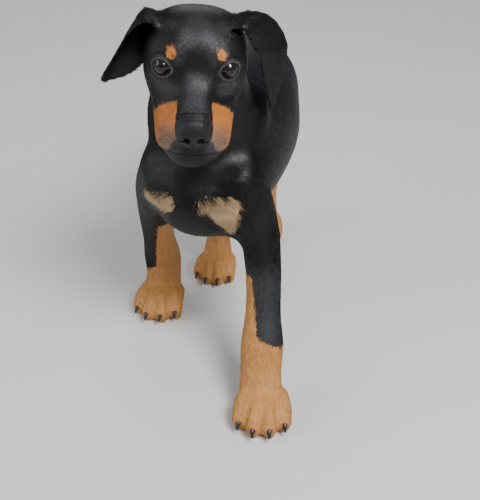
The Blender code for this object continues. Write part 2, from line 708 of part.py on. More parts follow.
def new_material(name, colour, roughness):
    material = bpy.data.materials.new(name)
    material.use_nodes = True
    shader = material.node_tree.nodes["Principled BSDF"]
    shader.inputs["Base Color"].default_value = (*colour, 1)
    shader.inputs["Roughness"].default_value = roughness
    return material


def whole_skin(helpers):
    """The body, legs, tail, paws and head in one closed skin."""
    trunk = new_collection("trunk", hidden=True)
    trunk_forms(trunk)
    neck_forms(trunk)
    leg_forms(trunk, 0, 5)
    body = melt("body", trunk, BODY_VOXEL, 20, helpers, fillet=0.014)

    head = new_collection("head_forms", hidden=True)
    head_forms(head)
    bpy.context.view_layer.update()
    skull = melt("head_skin", head, HEAD_VOXEL, 6, helpers, fillet=0.005)
    skull.data.transform(HEAD_FRAME)

    feet = new_collection("feet", hidden=True)
    for frame, size in PAWS.values():
        paw_forms(feet, frame, size)
    toes = melt("toes", feet, PAW_VOXEL, 2, helpers)

    whole = new_collection("whole", hidden=True)
    for obj in (body, skull, toes):
        helpers.objects.unlink(obj)
        whole.objects.link(obj)
    leg_forms(whole, 2, 8)
    loft("tail", TAIL, side=(1, 0, 0), collection=whole)
    skin = melt("skin", whole, WHOLE_VOXEL, 5, helpers)
    return thinned(skin)


def thinned(skin):
    """The skin with fewer triangles, kept finer on the head."""
    plain = skin.vertex_groups.new(name="plain")
    inverse = HEAD_FRAME.inverted()
    for v in skin.data.vertices:
        local = inverse @ v.co
        in_head = local.z > -0.066 and local.y < 0.045
        plain.add([v.index], 0.5 if in_head else 1.0, "REPLACE")
    decimate = skin.modifiers.new("thin", "DECIMATE")
    decimate.vertex_group = "plain"
    decimate.vertex_group_factor = 0.003
    decimate.ratio = WHOLE_TRIANGLES / sum(len(p.vertices) - 2 for p in skin.data.polygons)
    decimate.use_collapse_triangulate = True
    return apply_all(skin)


def main():
    clear_scene()
    puppy = new_collection("puppy")
    helpers = new_collection("helpers", hidden=True)
    skin = whole_skin(helpers)

    head = take(skin, "head", prism(HEAD_CUT, -0.1, 0.1, helpers, HEAD_FRAME), puppy)
    neck = take(skin, "neck", prism(NECK_CUT, -0.1, 0.1, helpers), puppy)
    tail = take(skin, "tail", prism(TAIL_CUT, -0.05, 0.05, helpers), puppy)
    cut(skin, prism(((-0.3, -0.1), (0.4, -0.1), (0.4, FLOOR_CUT), (-0.3, FLOOR_CUT)), -0.2, 0.2, helpers))
    paws, legs = (
        {name: take(skin, name, prism(*shape, helpers), puppy) for name, shape in cuts.items()}
        for cuts in (PAW_CUTS, LEG_CUTS)
    )
    skin.name = "torso"
    helpers.objects.unlink(skin)
    puppy.objects.link(skin)

    claws = []
    for name, paw in paws.items():
        for number, toe in enumerate(TOES, 1):
            claws.append(claw(name + "_claw_" + str(number), toe_frame(*PAWS[name], toe), puppy))
            cut(paw, grown(claws[-1], GAP, helpers))

    jaw = take(head, "lower_jaw", prism(JAW_CUT, -0.06, 0.06, helpers, HEAD_FRAME), puppy)
    nose = nose_form(puppy, helpers)
    cut(head, grown(nose, GAP, helpers))
    eyes, ears = [], []
    for side, word in ((1, "left"), (-1, "right")):
        eyes.append(eyeball("eye_" + word, side, puppy))
        cut(head, grown(eyes[-1], GAP, helpers))
        cut(head, eye_opening(side, helpers))
        ears.append(leaf("ear_" + word, EARS[word], EAR_THICKNESS, HEAD_FRAME, puppy))
        cut(head, grown(ears[-1], GAP, helpers))
        cut(neck, grown(ears[-1], GAP, helpers))

    black = new_material("black_coat", (0.020, 0.019, 0.019), 0.45)
    tan = new_material("tan_coat", (0.42, 0.20, 0.08), 0.6)
    leather = new_material("nose_leather", (0.018, 0.017, 0.018), 0.4)
    glass = new_material("eye_glass", (0.012, 0.008, 0.006), 0.06)
    horn = new_material("claw_horn", (0.05, 0.04, 0.035), 0.4)
    for material, pieces in (
        (black, (head, neck, tail, skin, *legs.values(), *ears)),
        (tan, (jaw, *paws.values())),
        (leather, (nose,)),
        (glass, eyes),
        (horn, claws),
    ):
        for piece in pieces:
            largest_only(piece)
            finish_piece(piece, material)

    corners = [v.co for obj in puppy.objects for v in obj.data.vertices]
    low = Vector([min(c[i] for c in corners) for i in range(3)])
    high = Vector([max(c[i] for c in corners) for i in range(3)])
    shift = Vector((-(low.x + high.x) / 2, -(low.y + high.y) / 2, -low.z))
    for obj in puppy.objects:
        obj.data.transform(Matrix.Translation(shift))


main()
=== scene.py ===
"""The looks of a life-size Doberman pinscher puppy in mid stride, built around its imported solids.

One skin takes the place of every node of flesh. A short coat of flat tufts lies over it, and the eyes,
the nose and the claws stay pieces of their own. The puppy faces -Y, and its left is +X. Sizes are in metres,
and places on the head and on the body as it was laid out are in millimetres.
"""

import math

import bmesh
import bpy
import numpy as np
from mathutils import Matrix, Vector
from mathutils.bvhtree import BVHTree


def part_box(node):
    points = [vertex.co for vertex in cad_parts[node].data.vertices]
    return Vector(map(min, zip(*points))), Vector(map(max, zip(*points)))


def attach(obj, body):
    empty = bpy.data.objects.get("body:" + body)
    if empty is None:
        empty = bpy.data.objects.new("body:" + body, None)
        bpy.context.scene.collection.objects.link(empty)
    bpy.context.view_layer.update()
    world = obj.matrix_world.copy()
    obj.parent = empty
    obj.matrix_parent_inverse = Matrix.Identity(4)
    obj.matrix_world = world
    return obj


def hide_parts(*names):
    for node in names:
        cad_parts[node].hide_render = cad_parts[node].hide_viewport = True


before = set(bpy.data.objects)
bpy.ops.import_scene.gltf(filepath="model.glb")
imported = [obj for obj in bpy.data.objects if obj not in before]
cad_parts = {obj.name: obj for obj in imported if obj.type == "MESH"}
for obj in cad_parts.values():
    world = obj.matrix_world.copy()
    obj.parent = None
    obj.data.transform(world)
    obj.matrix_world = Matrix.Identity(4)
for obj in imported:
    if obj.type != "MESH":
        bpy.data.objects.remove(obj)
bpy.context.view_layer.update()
rng = np.random.default_rng(11)

# The head's own frame, with the muzzle along -Y, found from the solids of the eyes
EYE_MIDDLE = Vector((0, -0.0213, 0.0118))
EYE_APART = 0.0264
EYE_LOOK = Vector((0.33, -0.90, 0.22)).normalized()
EYE_RADIUS = 0.0098
LID_RADIUS = 0.0115
HEAD_TURN = (
    Matrix.Rotation(math.radians(11), 4, "Z")
    @ Matrix.Rotation(math.radians(22), 4, "X")
    @ Matrix.Rotation(math.radians(4.2), 4, "Y")
)

# Where the head was when the body was laid out. The courses of the limbs lie in the same space.
LAID_OUT_HEAD = Vector((0.0005, -0.0340, 0.3284))

# The opening between the lids, half as wide and half as high as this, in millimetres. It is tilted, and it
# narrows towards its corners.
OPENING_WIDTH = 8.4
OPENING_HEIGHT = 7.4
OPENING_TILT = 0.08
OPENING_TAPER = 0.18

# How far from the middle of the eye, in millimetres, the skin inside the opening and the rims of the lids lie
SUNK_SKIN = 8.4
RIM_INSIDE = 10.30
RIM_THICK = 0.75

# Folds of the lids in millimetres: depth, distance outside the opening, width, and whether above the eye
LID_FOLDS = ((0.75, 2.5, 0.6, True), (0.35, 5.0, 0.8, True), (0.50, 2.9, 0.7, False), (0.45, 5.6, 0.9, False))

# The line between the lips seen from the side, and how far out they reach, in millimetres
MOUTH_LINE = (
    (-26, -33.5), (-32, -35.5), (-44, -40.5), (-58, -42.5), (-70, -40.0), (-77, -37.2), (-90, -36.8),
)
LIPS_OUT = 42

# Skin. The head lies within HEAD_REACH millimetres of its middle, and the paws lie below PAW_TOP.
FLESH_GROWTH = 0.0004
SKIN_VOXEL = 0.0010
WELD = 0.00001
HEAD_REACH = 85
PAW_TOP = 0.030
BODY_TRIANGLES = 51233
PAW_TRIANGLES = 11083
HEAD_TRIANGLES = 25561

# Courses of the limbs and the tail from the body outward, in millimetres where the body was laid out
COURSES = {
    "foreleg_left": ((36, -18, 216), (48, -22, 184), (58, -27, 154), (64, -44, 122), (67, -63, 90),
                     (69, -80, 63), (70, -93, 44), (72, -107, 27), (74, -145, 12)),
    "foreleg_right": ((-38, -8, 216), (-50, 6, 184), (-58, 24, 154), (-62, 38, 122), (-64, 52, 90),
                      (-64, 62, 63), (-63, 61, 43), (-63, 54, 26), (-64, 15, 12)),
    "hindleg_left": ((32, 196, 222), (37, 196, 192), (42, 186, 162), (41, 196, 130), (33, 222, 101),
                     (28, 240, 80), (25, 238, 52), (24, 231, 25), (23, 195, 12)),
    "hindleg_right": ((-32, 196, 224), (-37, 186, 194), (-40, 160, 166), (-37, 154, 130), (-29, 164, 101),
                      (-24, 172, 80), (-20, 156, 52), (-17, 136, 25), (-15, 95, 12)),
    "tail": ((0, 230, 241), (0, 250, 232), (0, 265, 215), (2, 275, 193), (5, 282, 167), (8, 290, 142),
             (10, 302, 121)),
}

# Coat, with the length and the width of a hair in millimetres on each kind of node
HAIRS = 5
FLOOR_GAP = 0.0003
HAIR_LENGTHS = (("ear", 2.4), ("head", 3.8), ("lower_jaw", 3.2), ("forepaw", 3.0), ("hindpaw", 3.0),
                ("foreleg", 4.2), ("hindleg", 4.4), ("tail", 4.6), ("neck", 6.0), ("", 6.4))
HAIR_WIDTHS = (("ear", 0.34), ("head", 0.32), ("lower_jaw", 0.30), ("forepaw", 0.32), ("hindpaw", 0.32),
               ("foreleg", 0.38), ("hindleg", 0.38), ("", 0.46))

# Colours
BLACK = (0.0020, 0.0019, 0.0021, 1)
SOFT_BLACK = (0.0065, 0.0062, 0.0068, 1)
# Grey hair, and the grey of a painted sheen of light on the black coat
GREY_HAIR_AND_SHEEN = (0.085, 0.086, 0.094, 1)
LEG_TAN = (0.57, 0.285, 0.090, 1)
MUZZLE_TAN = (0.47, 0.155, 0.030, 1)
CHEST_TAN = (0.50, 0.345, 0.200, 1)
DEEP_TAN = (0.16, 0.062, 0.020, 1)
FADED = (0.150, 0.108, 0.084, 1)
LID_RIM = (0.006, 0.005, 0.005, 1)
# The pale grey that follows is a painted highlight on the bare edges of the lids
LID_EDGE_HIGHLIGHT = (0.060, 0.056, 0.056, 1)
PUPIL = (0.0008, 0.0008, 0.0011, 1)
IRIS = (0.0085, 0.0040, 0.0022, 1)
IRIS_EDGE = (0.0020, 0.0017, 0.0017, 1)
EYE_WHITE = (0.045, 0.037, 0.035, 1)
NOSE_BLACK = (0.0036, 0.0035, 0.0039, 1)
CLAW_HORN = (0.022, 0.018, 0.016, 1)
WHISKER_BLACK = (0.010, 0.009, 0.009, 1)
FLOOR_PALE = (0.72, 0.72, 0.705, 1)
STUDIO_AIR = (0.80, 0.84, 0.90, 1)

# Camera and lights, with the place, the size and the power of each light
CAMERA_PLACE = (0.1694, -0.8881, 0.6298)
CAMERA_TURN = (math.radians(58), 0, math.radians(10))
CAMERA_LENS = 72.75
LIT_PLACE = Vector((0, 0.02, 0.2))
LIGHTS = {
    "key_light": ((0.75, -0.85, 1.45), 0.6, 34),
    "fill_light": ((-1.30, -0.70, 0.85), 1.0, 9),
    "rim_light": ((-0.25, 1.25, 1.30), 0.8, 5),
}
AIR_STRENGTH = 0.47
FLOOR_SIZE = 14

FLESH = [
    name for name in sorted(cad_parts)
    if not name.startswith(("eye_", "nose")) and "claw" not in name
]
CLAWS = [name for name in sorted(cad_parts) if "claw" in name]
HEAD_NODES = ("head", "lower_jaw")
PAWS = ("forepaw_left", "forepaw_right", "hindpaw_left", "hindpaw_right")


# Small tools


def linked(name, data):
    """A new object in the scene."""
    obj = bpy.data.objects.new(name, data)
    bpy.context.scene.collection.objects.link(obj)
    return obj


def piece_from(bm, name):
    """A new object made of a bmesh, which is used up."""
    mesh = bpy.data.meshes.new(name)
    bm.to_mesh(mesh)
    bm.free()
    return linked(name, mesh)


def only(obj):
    """Selects one object and makes it active."""
    bpy.ops.object.select_all(action="DESELECT")
    obj.select_set(True)
    bpy.context.view_layer.objects.active = obj


def read(items, name, kind, *width):
    """One value of every item as an array, in rows of that width where it has one."""
    values = np.zeros(len(items) * math.prod(width), kind)
    items.foreach_get(name, values)
    return values.reshape(-1, *width)


def corners_of(obj):
    """An object's vertices as an array."""
    return read(obj.data.vertices, "co", np.float32, 3).astype(float)


def set_corners(obj, points):
    obj.data.vertices.foreach_set("co", points.astype(np.float32).ravel())
    obj.data.update()


def normals_of(obj):
    return read(obj.data.vertices, "normal", np.float32, 3).astype(float)


def edges_of(obj):
    return read(obj.data.edges, "vertices", np.int32, 2)


def apply_modifiers(obj):
    only(obj)
    for modifier in list(obj.modifiers):
        bpy.ops.object.modifier_apply(modifier=modifier.name)


def unit(rows):
    return rows / np.maximum(np.linalg.norm(rows, axis=1), 1e-9)[:, None]


def soft_step(low, high, value):
    t = np.clip((value - low) / (high - low), 0, 1)
    return t * t * (3 - 2 * t)


def halved(points):
    """Points with their right half laid on their left."""
    return np.column_stack((np.abs(points[:, 0]), points[:, 1], points[:, 2]))


def carried(matrix, points):
    """Rows of points carried by a 4 x 4 matrix."""
    m = np.array(matrix)
    return points @ m[:3, :3].T + m[:3, 3]


def turned(matrix, rows):
    """Rows of directions turned by a 4 x 4 matrix."""
    return rows @ np.array(matrix)[:3, :3].T


def middle_of(node):
    low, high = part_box(node)
    return (low + high) / 2


def averaged(values, edges, count):
    """For every vertex the mean of its neighbours' values."""
    total = np.zeros_like(values)
    degree = np.maximum(np.bincount(edges.ravel(), minlength=count), 1)
    for column in range(values.shape[1]):
        total[:, column] = np.bincount(edges[:, 0], values[edges[:, 1], column], count)
        total[:, column] += np.bincount(edges[:, 1], values[edges[:, 0], column], count)
    return total / degree[:, None]


def relaxed(values, edges, rounds, weights=None):
    """Values smoothed along the edges, fully or by weights from 0 to 1."""
    count = len(values)
    weights = np.ones(count) if weights is None else weights
    for _ in range(rounds):
        values = values + 0.5 * weights[:, None] * (averaged(values, edges, count) - values)
    return values


def ridge(value, middle, width):
    """1 at the middle, falling softly to 0 on both sides."""
    return np.exp(-(((value - middle) / width) ** 2))


# Where the head and the body lie

eyes_seen = (middle_of("eye_left") + middle_of("eye_right")) / 2
HEAD = Matrix.Translation(eyes_seen - HEAD_TURN @ EYE_MIDDLE) @ HEAD_TURN
TO_HEAD = HEAD.inverted()
SHIFT = HEAD.translation - LAID_OUT_HEAD


def in_head(points):
    """Points in millimetres in the head's own frame."""
    return carried(TO_HEAD, points) * 1000


def in_body(points):
    """Points in millimetres where the body was laid out."""
    return (points - np.array(SHIFT)) * 1000


def eye_frame(side):
    """Where an eye is, with its own -Y along the way it looks."""
    look = Vector((side * EYE_LOOK.x, EYE_LOOK.y, EYE_LOOK.z))
    place = Vector((side * EYE_APART, EYE_MIDDLE.y, EYE_MIDDLE.z))
    spin = Vector((0, -1, 0)).rotation_difference(look).to_matrix().to_4x4()
    return HEAD @ Matrix.Translation(place) @ spin


# Skin


def flesh_solids():
    """Copies of the flesh, and of what fills it below the nose and the claws, grown until the cuts close."""
    bm = bmesh.new()
    for name in FLESH + ["nose"]:
        bm.from_mesh(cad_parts[name].data)
    for name in CLAWS:
        first = len(bm.verts)
        bm.from_mesh(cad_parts[name].data)
        bm.verts.ensure_lookup_table()
        claw = bm.verts[first:]
        paw = middle_of(name[:name.index("_claw")])
        root = min((v.co.copy() for v in claw), key=lambda co: (co - paw).length)
        tip = max((v.co.copy() for v in claw), key=lambda co: (co - root).length)
        middle = (root + tip) / 2
        way = (tip - root).normalized()
        for v in claw:
            v.co -= way * max((v.co - middle).dot(way), 0)
    bmesh.ops.remove_doubles(bm, verts=bm.verts, dist=WELD)
    for side in (1, -1):
        bmesh.ops.create_uvsphere(bm, u_segments=48, v_segments=32, radius=LID_RADIUS, matrix=eye_frame(side))
    skin = piece_from(bm, "skin")
    grow = skin.modifiers.new("grow", "DISPLACE")
    grow.strength = FLESH_GROWTH
    grow.mid_level = 0
    melt = skin.modifiers.new("melt", "REMESH")
    melt.mode = "VOXEL"
    melt.voxel_size = SKIN_VOXEL
    apply_modifiers(skin)
    return skin


def keep_largest(obj):
    """Drops every loose part but the one with the most corners."""
    edges = edges_of(obj)
    group = np.arange(len(obj.data.vertices))
    while True:
        lowest = np.minimum(group[edges[:, 0]], group[edges[:, 1]])
        found = group.copy()
        np.minimum.at(found, edges[:, 0], lowest)
        np.minimum.at(found, edges[:, 1], lowest)
        found = found[found]
        if (found == group).all():
            break
        group = found
    main_part = np.bincount(group).argmax()
    bm = bmesh.new()
    bm.from_mesh(obj.data)
    bm.verts.ensure_lookup_table()
    bmesh.ops.delete(bm, geom=[bm.verts[i] for i in np.nonzero(group != main_part)[0]], context="VERTS")
    bm.to_mesh(obj.data)
    bm.free()


def in_eye(points, side):
    """Points in millimetres in an eye's own frame, with +X towards the outer corner."""
    local = carried(eye_frame(side).inverted(), points) * 1000
    local[:, 0] *= side
    return local


def lid_reach(local):
    """Millimetres outside the opening between the lids, below 0 within it, seen along the eye's look."""
    across = local[:, 0] / OPENING_WIDTH
    up = local[:, 2] - OPENING_TILT * local[:, 0]
    height = OPENING_HEIGHT * np.maximum(1 - OPENING_TAPER * across ** 2, 0.2)
    return (np.sqrt(across ** 2 + (up / height) ** 2) - 1) * OPENING_HEIGHT


def nearer_lids(points, within, beyond):
    """lid_reach for points within so many millimetres of an eye, and a far value for all others."""
    found = np.full(len(points), float(beyond))
    for side in (1, -1):
        local = in_eye(points, side)
        near = (local[:, 1] < -1) & (np.linalg.norm(local, axis=1) < within)
        found = np.where(near, np.minimum(found, lid_reach(local)), found)
    return found


def mouth_distance(head):
    """Distance to the line between the lips as seen from the side, and height above it, in millimetres."""
    y, z = head[:, 1], head[:, 2]
    near = np.full(len(head), 1e9)
    above = np.zeros(len(head))
    for (y0, z0), (y1, z1) in zip(MOUTH_LINE, MOUTH_LINE[1:]):
        dy, dz = y1 - y0, z1 - z0
        t = np.clip(((y - y0) * dy + (z - z0) * dz) / (dy * dy + dz * dz), 0, 1)
        off_y = y - y0 - dy * t
        off_z = z - z0 - dz * t
        found = np.hypot(off_y, off_z)
        above = np.where(found < near, off_z, above)
        near = np.minimum(near, found)
    return near, above


def kept_fine(points):
    """The skin round the eyes, along the lips and beside the nose, where no corner may go."""
    head = in_head(points)
    near, _ = mouth_distance(head)
    front = (head[:, 1] < -24) & (head[:, 1] > -95) & (np.abs(head[:, 0]) < 45)
    kept = front & (near < 3.5)
    kept |= front & (np.abs(head[:, 2] + 12) < 18) & (head[:, 1] < -60) & (np.abs(head[:, 0]) < 20)
    for side in (1, -1):
        kept |= np.linalg.norm(in_eye(points, side), axis=1) < 17
    return kept


def thin_out(obj, free, triangles):
    """Thins the faces of a mesh whose corners are all free to so many triangles."""
    corners = read(obj.data.loops, "vertex_index", np.int32)
    starts = read(obj.data.polygons, "loop_start", np.int32)
    counts = np.diff(np.append(starts, len(corners))) - 2
    inner = np.logical_and.reduceat(free[corners], starts)
    group = obj.vertex_groups.new(name="thin")
    group.add(np.nonzero(free)[0].tolist(), 1.0, "REPLACE")
    thin = obj.modifiers.new("thin", "DECIMATE")
    thin.ratio = 1 - (counts[inner].sum() - triangles) / counts.sum()
    thin.vertex_group = "thin"
    thin.vertex_group_factor = 0.003
    apply_modifiers(obj)
    obj.vertex_groups.clear()


def divide_rims(obj):
    """Finer faces at the rims of the lids and along the lips."""
    bm = bmesh.new()
    bm.from_mesh(obj.data)
    for reach, mouth_reach in ((4.5, 2.2), (2.4, 0)):
        points = np.array([v.co for v in bm.verts])
        head = in_head(points)
        near, _ = mouth_distance(head)
        chosen = (near < mouth_reach) & (head[:, 1] < -28) & (np.abs(head[:, 0]) < LIPS_OUT)
        for side in (1, -1):
            local = in_eye(points, side)
            rim = np.abs(lid_reach(local) - 0.3)
            chosen |= (rim < reach) & (local[:, 1] < -2) & (np.linalg.norm(local, axis=1) < 18)
        edges = [e for e in bm.edges if chosen[e.verts[0].index] and chosen[e.verts[1].index]]
        bmesh.ops.subdivide_edges(bm, edges=edges, cuts=1, use_grid_fill=True)
        bm.verts.index_update()
    bmesh.ops.triangulate(bm, faces=[f for f in bm.faces if len(f.verts) > 4])
    bm.to_mesh(obj.data)
    bm.free()


def loose_mesh(nodes):
    """The corners and faces of nodes, with the number of the node that each face belongs to."""
    corners, faces, owners = [], [], []
    for index, name in enumerate(nodes):
        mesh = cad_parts[name].data
        start = len(corners)
        corners.extend(v.co.copy() for v in mesh.vertices)
        for face in mesh.polygons:
            faces.append([start + i for i in face.vertices])
            owners.append(index)
    return corners, faces, owners


def labels_of(points, tree, owners):
    """For every point the index of the flesh node that lies nearest."""
    return np.array([owners[tree.find_nearest(Vector(point))[2]] for point in points])


def parted_lips(points, normals):
    """The line between the lips pressed in, with the lips' own swell, and the groove below the nose."""
    head = in_head(points)
    near, above = mouth_distance(head)
    lips = soft_step(-24, -32, head[:, 1]) * (np.abs(head[:, 0]) < LIPS_OUT)
    groove = -1.3 * ridge(near, 0, 0.9)
    upper = 0.7 * ridge(above, 3.2, 2.4) * (above > 0)
    lower = -0.5 * ridge(above, -2.5, 2.5) * (above <= 0)
    move = lips * (groove + np.where(near < 9, upper + lower, 0))
    below_nose = -0.9 * ridge(head[:, 0], 0, 0.8) * soft_step(-70, -76, head[:, 1])
    move += below_nose * soft_step(-23, -27, head[:, 2]) * soft_step(-41, -38, head[:, 2])
    return points + normals * (move / 1000)[:, None]


def opened_lids(points):
    """The skin drawn back inside the opening between the lids, with their rims and folds."""
    for side in (1, -1):
        place = np.array(eye_frame(side).translation)
        local = in_eye(points, side)
        reach = lid_reach(local)
        distance = np.linalg.norm(local, axis=1)
        facing = (local[:, 1] < -1) & (distance < 20)
        over = soft_step(-2, 3, local[:, 2])
        folds = np.zeros(len(points))
        for depth, middle, width, above in LID_FOLDS:
            folds -= depth * ridge(reach, middle, width) * (over if above else 1 - over)
        outside = distance + folds + 0.30 * ridge(reach, 1.2, 0.7)
        rim = RIM_INSIDE + RIM_THICK * soft_step(-0.1, 0.8, reach)
        rim += (outside - RIM_INSIDE - RIM_THICK) * soft_step(0.2, 0.8, reach)
        sunk = SUNK_SKIN + (RIM_INSIDE - SUNK_SKIN) * soft_step(-0.8, -0.1, reach)
        wanted = np.where(reach < -0.1, sunk, np.where(reach < 0.8, rim, outside))
        change = np.where(facing, wanted / np.maximum(distance, 1e-6), 1)
        points = place + (points - place) * change[:, None]
    return points


def settled(points, edges, rounds):
    """Points smoothed well past the solids' facets, with the broad shape given back."""
    smooth = relaxed(points, edges, rounds)
    return smooth + relaxed(points - smooth, edges, rounds)


def by_node(values, labels, edges, rounds=14):
    """A value for each kind of node, taken to the skin's vertices and softened where the nodes meet."""
    table = np.zeros(len(FLESH))
    for index, name in enumerate(FLESH):
        table[index] = next(value for start, value in values if name.startswith(start))
    return relaxed(table[labels][:, None], edges, rounds)[:, 0]


def tucked(points, labels, edges):
    """The ears' inner edges drawn in to the head, so that no gap is left beside them."""
    head = in_head(points)
    of_right = by_node((("ear_right", 1.0), ("", 0.0)), labels, edges, rounds=6)
    of_left = by_node((("ear_left", 1.0), ("", 0.0)), labels, edges, rounds=6)
    depth = np.interp(head[:, 2], (-35, -18, -3, 13), (6, 14, 30, 34))
    back = soft_step(0.15, 0.9, head[:, 1] / depth)
    high = soft_step(-36, -6, head[:, 2]) * soft_step(36, 24, head[:, 2])
    front = soft_step(30, 8, head[:, 1]) * soft_step(8, 22, head[:, 2]) * soft_step(44, 37, head[:, 2])
    moved = np.zeros_like(head)
    moved[:, 0] = 7.5 * of_right * back * high - 7.0 * of_left * front
    return points + turned(HEAD, moved) / 1000


def toe_gaps():
    """The lines between the toes as seen from above, each from the front backwards, in millimetres."""
    for paw in PAWS:
        tips = [middle_of(f"{paw}_claw_{k}") * 1000 for k in (1, 2, 3, 4)]
        front = sum(tips, Vector()) / 4
        back = middle_of(paw) * 1000 - front
        back = Vector((back.x, back.y, 0)).normalized()
        across = Vector((-back.y, back.x, 0))
        tips.sort(key=lambda tip: tip.dot(across))
        for first, second in zip(tips, tips[1:]):
            start = (first + second) / 2
            way = (back * 30 - across * 0.5 * (start - front).dot(across)).normalized()
            yield np.array(start), np.array(way), 24 if paw.startswith("fore") else 20


def between_toes(points):
    """How near points are to the middle of a gap between two toes, from 0 to 1."""
    found = np.zeros(len(points))
    for start, way, reach in toe_gaps():
        rel = points * 1000 - start
        along = rel[:, 0] * way[0] + rel[:, 1] * way[1]
        aside = rel[:, 0] * way[1] - rel[:, 1] * way[0]
        here = ridge(aside, 0, 1.5) * soft_step(-8, 0, along) * soft_step(reach, 5, along)
        found = np.maximum(found, here * (np.abs(rel[:, 2]) < 26))
    return found


def at_claws(points):
    """How nearly points lie on a claw, from 0 to 1."""
    tree = BVHTree.FromPolygons(*loose_mesh(CLAWS)[:2])
    low = points[:, 2] < 0.035
    found = np.zeros(len(points))
    found[low] = [tree.find_nearest(Vector(point))[3] for point in points[low]]
    return np.where(low, soft_step(0.0015, 0.0008, found), 0)


def near_paws(points):
    return points[:, 2] < PAW_TOP


def near_head(points):
    return np.linalg.norm(in_head(points) - (0, -10, 0), axis=1) < HEAD_REACH


flesh_corners, flesh_faces, flesh_owners = loose_mesh(FLESH)
flesh_tree = BVHTree.FromPolygons(flesh_corners, flesh_faces)
skin = flesh_solids()
keep_largest(skin)
points = corners_of(skin)
edges = edges_of(skin)
labels = labels_of(points, flesh_tree, flesh_owners)
for rounds, nodes in (
    (8, (("", 1.0),)),
    (16, (("ear", 1.0), ("head", 1.0), ("lower_jaw", 1.0), ("forepaw", 0.15), ("hindpaw", 0.15), ("", 1.0))),
    (55, (("ear", 0.25), ("head", 0.45), ("lower_jaw", 0.3), ("forepaw", 0.0), ("hindpaw", 0.0), ("", 1.0))),
):
    weight = by_node(nodes, labels, edges)[:, None]
    points = points * (1 - weight) + settled(points, edges, rounds) * weight
points = tucked(points, labels, edges)
set_corners(skin, points)
thin_out(skin, ~near_head(points) & ~near_paws(points), BODY_TRIANGLES)
points = corners_of(skin)
thin_out(skin, near_paws(points), PAW_TRIANGLES)
points = corners_of(skin)
thin_out(skin, near_head(points) & ~kept_fine(points), HEAD_TRIANGLES)
divide_rims(skin)

points = corners_of(skin)
edges = edges_of(skin)
labels = labels_of(points, flesh_tree, flesh_owners)
depth = by_node((("ear", 0.35), ("head", 0.60), ("lower_jaw", 0.60), ("forepaw", 0.55), ("hindpaw", 0.55),
                 ("foreleg", 0.80), ("hindleg", 0.80), ("", 1.00)), labels, edges)
depth += 0.6 * at_claws(points) + 2.5 * between_toes(points) * (normals_of(skin)[:, 2] > -0.3)
points = points - normals_of(skin) * ((depth / 1000 + FLESH_GROWTH)[:, None])
set_corners(skin, points)
set_corners(skin, opened_lids(parted_lips(points, normals_of(skin))))
skin.data.shade_smooth()


# Markings, with the painted sheen of light on the black coat


def capsule(points, start, end, first, last):
    """Millimetres inside a tapered capsule round the line from start to end, below 0 outside it."""
    start, end = np.array(start, float), np.array(end, float)
    along = end - start
    t = np.clip((points - start) @ along / (along @ along), 0, 1)
    return first + (last - first) * t - np.linalg.norm(points - (start + t[:, None] * along), axis=1)


def blob(points, centre, radii):
    """About how many millimetres inside an ellipsoid, below 0 outside it."""
    radii = np.array(radii, float)
    return (1 - np.linalg.norm((points - np.array(centre)) / radii, axis=1)) * radii.min()


def course_place(points, name):
    """Where points lie beside a course, and which way it runs there."""
    course = np.array(COURSES[name], float)
    nearest = np.full(len(points), 1e9)
    offset = np.zeros_like(points)
    way = np.zeros_like(points)
    for start, end in zip(course, course[1:]):
        along = end - start
        t = np.clip((points - start) @ along / (along @ along), 0, 1)
        off = points - (start + t[:, None] * along)
        distance = np.linalg.norm(off, axis=1)
        closer = distance < nearest
        nearest = np.where(closer, distance, nearest)
        offset[closer] = off[closer]
        way[closer] = along / np.linalg.norm(along)
    return offset, way


def tan_of_head(half):
    """Millimetres inside the tan of the face, and inside that of the throat alone, below 0 outside them."""
    brow = blob(half, (21.2, -24.0, 26.5), (4.2, 5.3, 4.8))
    muzzle = np.maximum.reduce((
        capsule(half, (27.0, -66.0, -27.0), (31.0, -50.0, -28.5), 13.0, 11.0),
        capsule(half, (17.0, -52.0, -5.0), (20.0, -70.0, -20.0), 3.6, 7.5),
        capsule(half, (17.0, -51.5, -5.5), (29.5, -47.0, -19.0), 3.6, 5.5),
        capsule(half, (23.0, -57.0, -14.5), (27.0, -62.0, -20.0), 6.0, 8.0),
        capsule(half, (31.0, -50.0, -33.0), (37.5, -28.0, -38.0), 11.0, 7.0),
    ))
    throat = capsule(half, (0.0, -52.0, -62.0), (0.0, -16.0, -52.0), 13.0, 18.0)
    chin = capsule(half, (0.0, -84.0, -34.0), (0.0, -74.0, -58.0), 13.0, 17.0)
    bridge = capsule(half, (0.0, -86.0, -12.0), (0.0, -40.0, 8.0), 14.5, 14.0)
    return np.maximum(brow, np.minimum(np.maximum(muzzle, throat), -np.maximum(chin, bridge))), throat


def grey_of_head(half):
    """How grey the coat is along the bridge, on the forehead, over and under the eyes and on the lips. Most
    of it is a painted sheen of light on the black hair; under the eyes it is painted sheen and grey hair, and
    on the lips it is faded grey-brown hair.
    """
    # Painted sheen of light along the bridge, on the forehead, in lines over the eyes and on the top of the
    # head by the ears; painted sheen and grey hair under the eyes; faded grey-brown hair on the lips
    patches = (
        (0.75, -7, 5, capsule(half, (0.0, -66.0, 3.0), (0.0, -42.0, 9.0), 11, 7)),
        (0.60, -6, 6, capsule(half, (0.0, 2.0, 42.0), (7.0, -8.0, 39.0), 8, 8)),
        (0.55, -4, 3, capsule(half, (9.0, -12.0, 37.0), (15.0, -28.0, 21.0), 4, 3)),
        (0.50, -5, 4, capsule(half, (22.0, -2.0, 38.0), (32.0, 4.0, 30.0), 5, 4)),
        (0.80, -4, 3, blob(half, (27.0, -31.0, -1.0), (12.0, 9.0, 6.5))),
        (0.90, -6, 4, blob(half, (21.0, -75.0, -29.0), (10.0, 15.0, 14.0))),
    )
    return sum(strength * soft_step(edge, full, inside) for strength, edge, full, inside in patches)


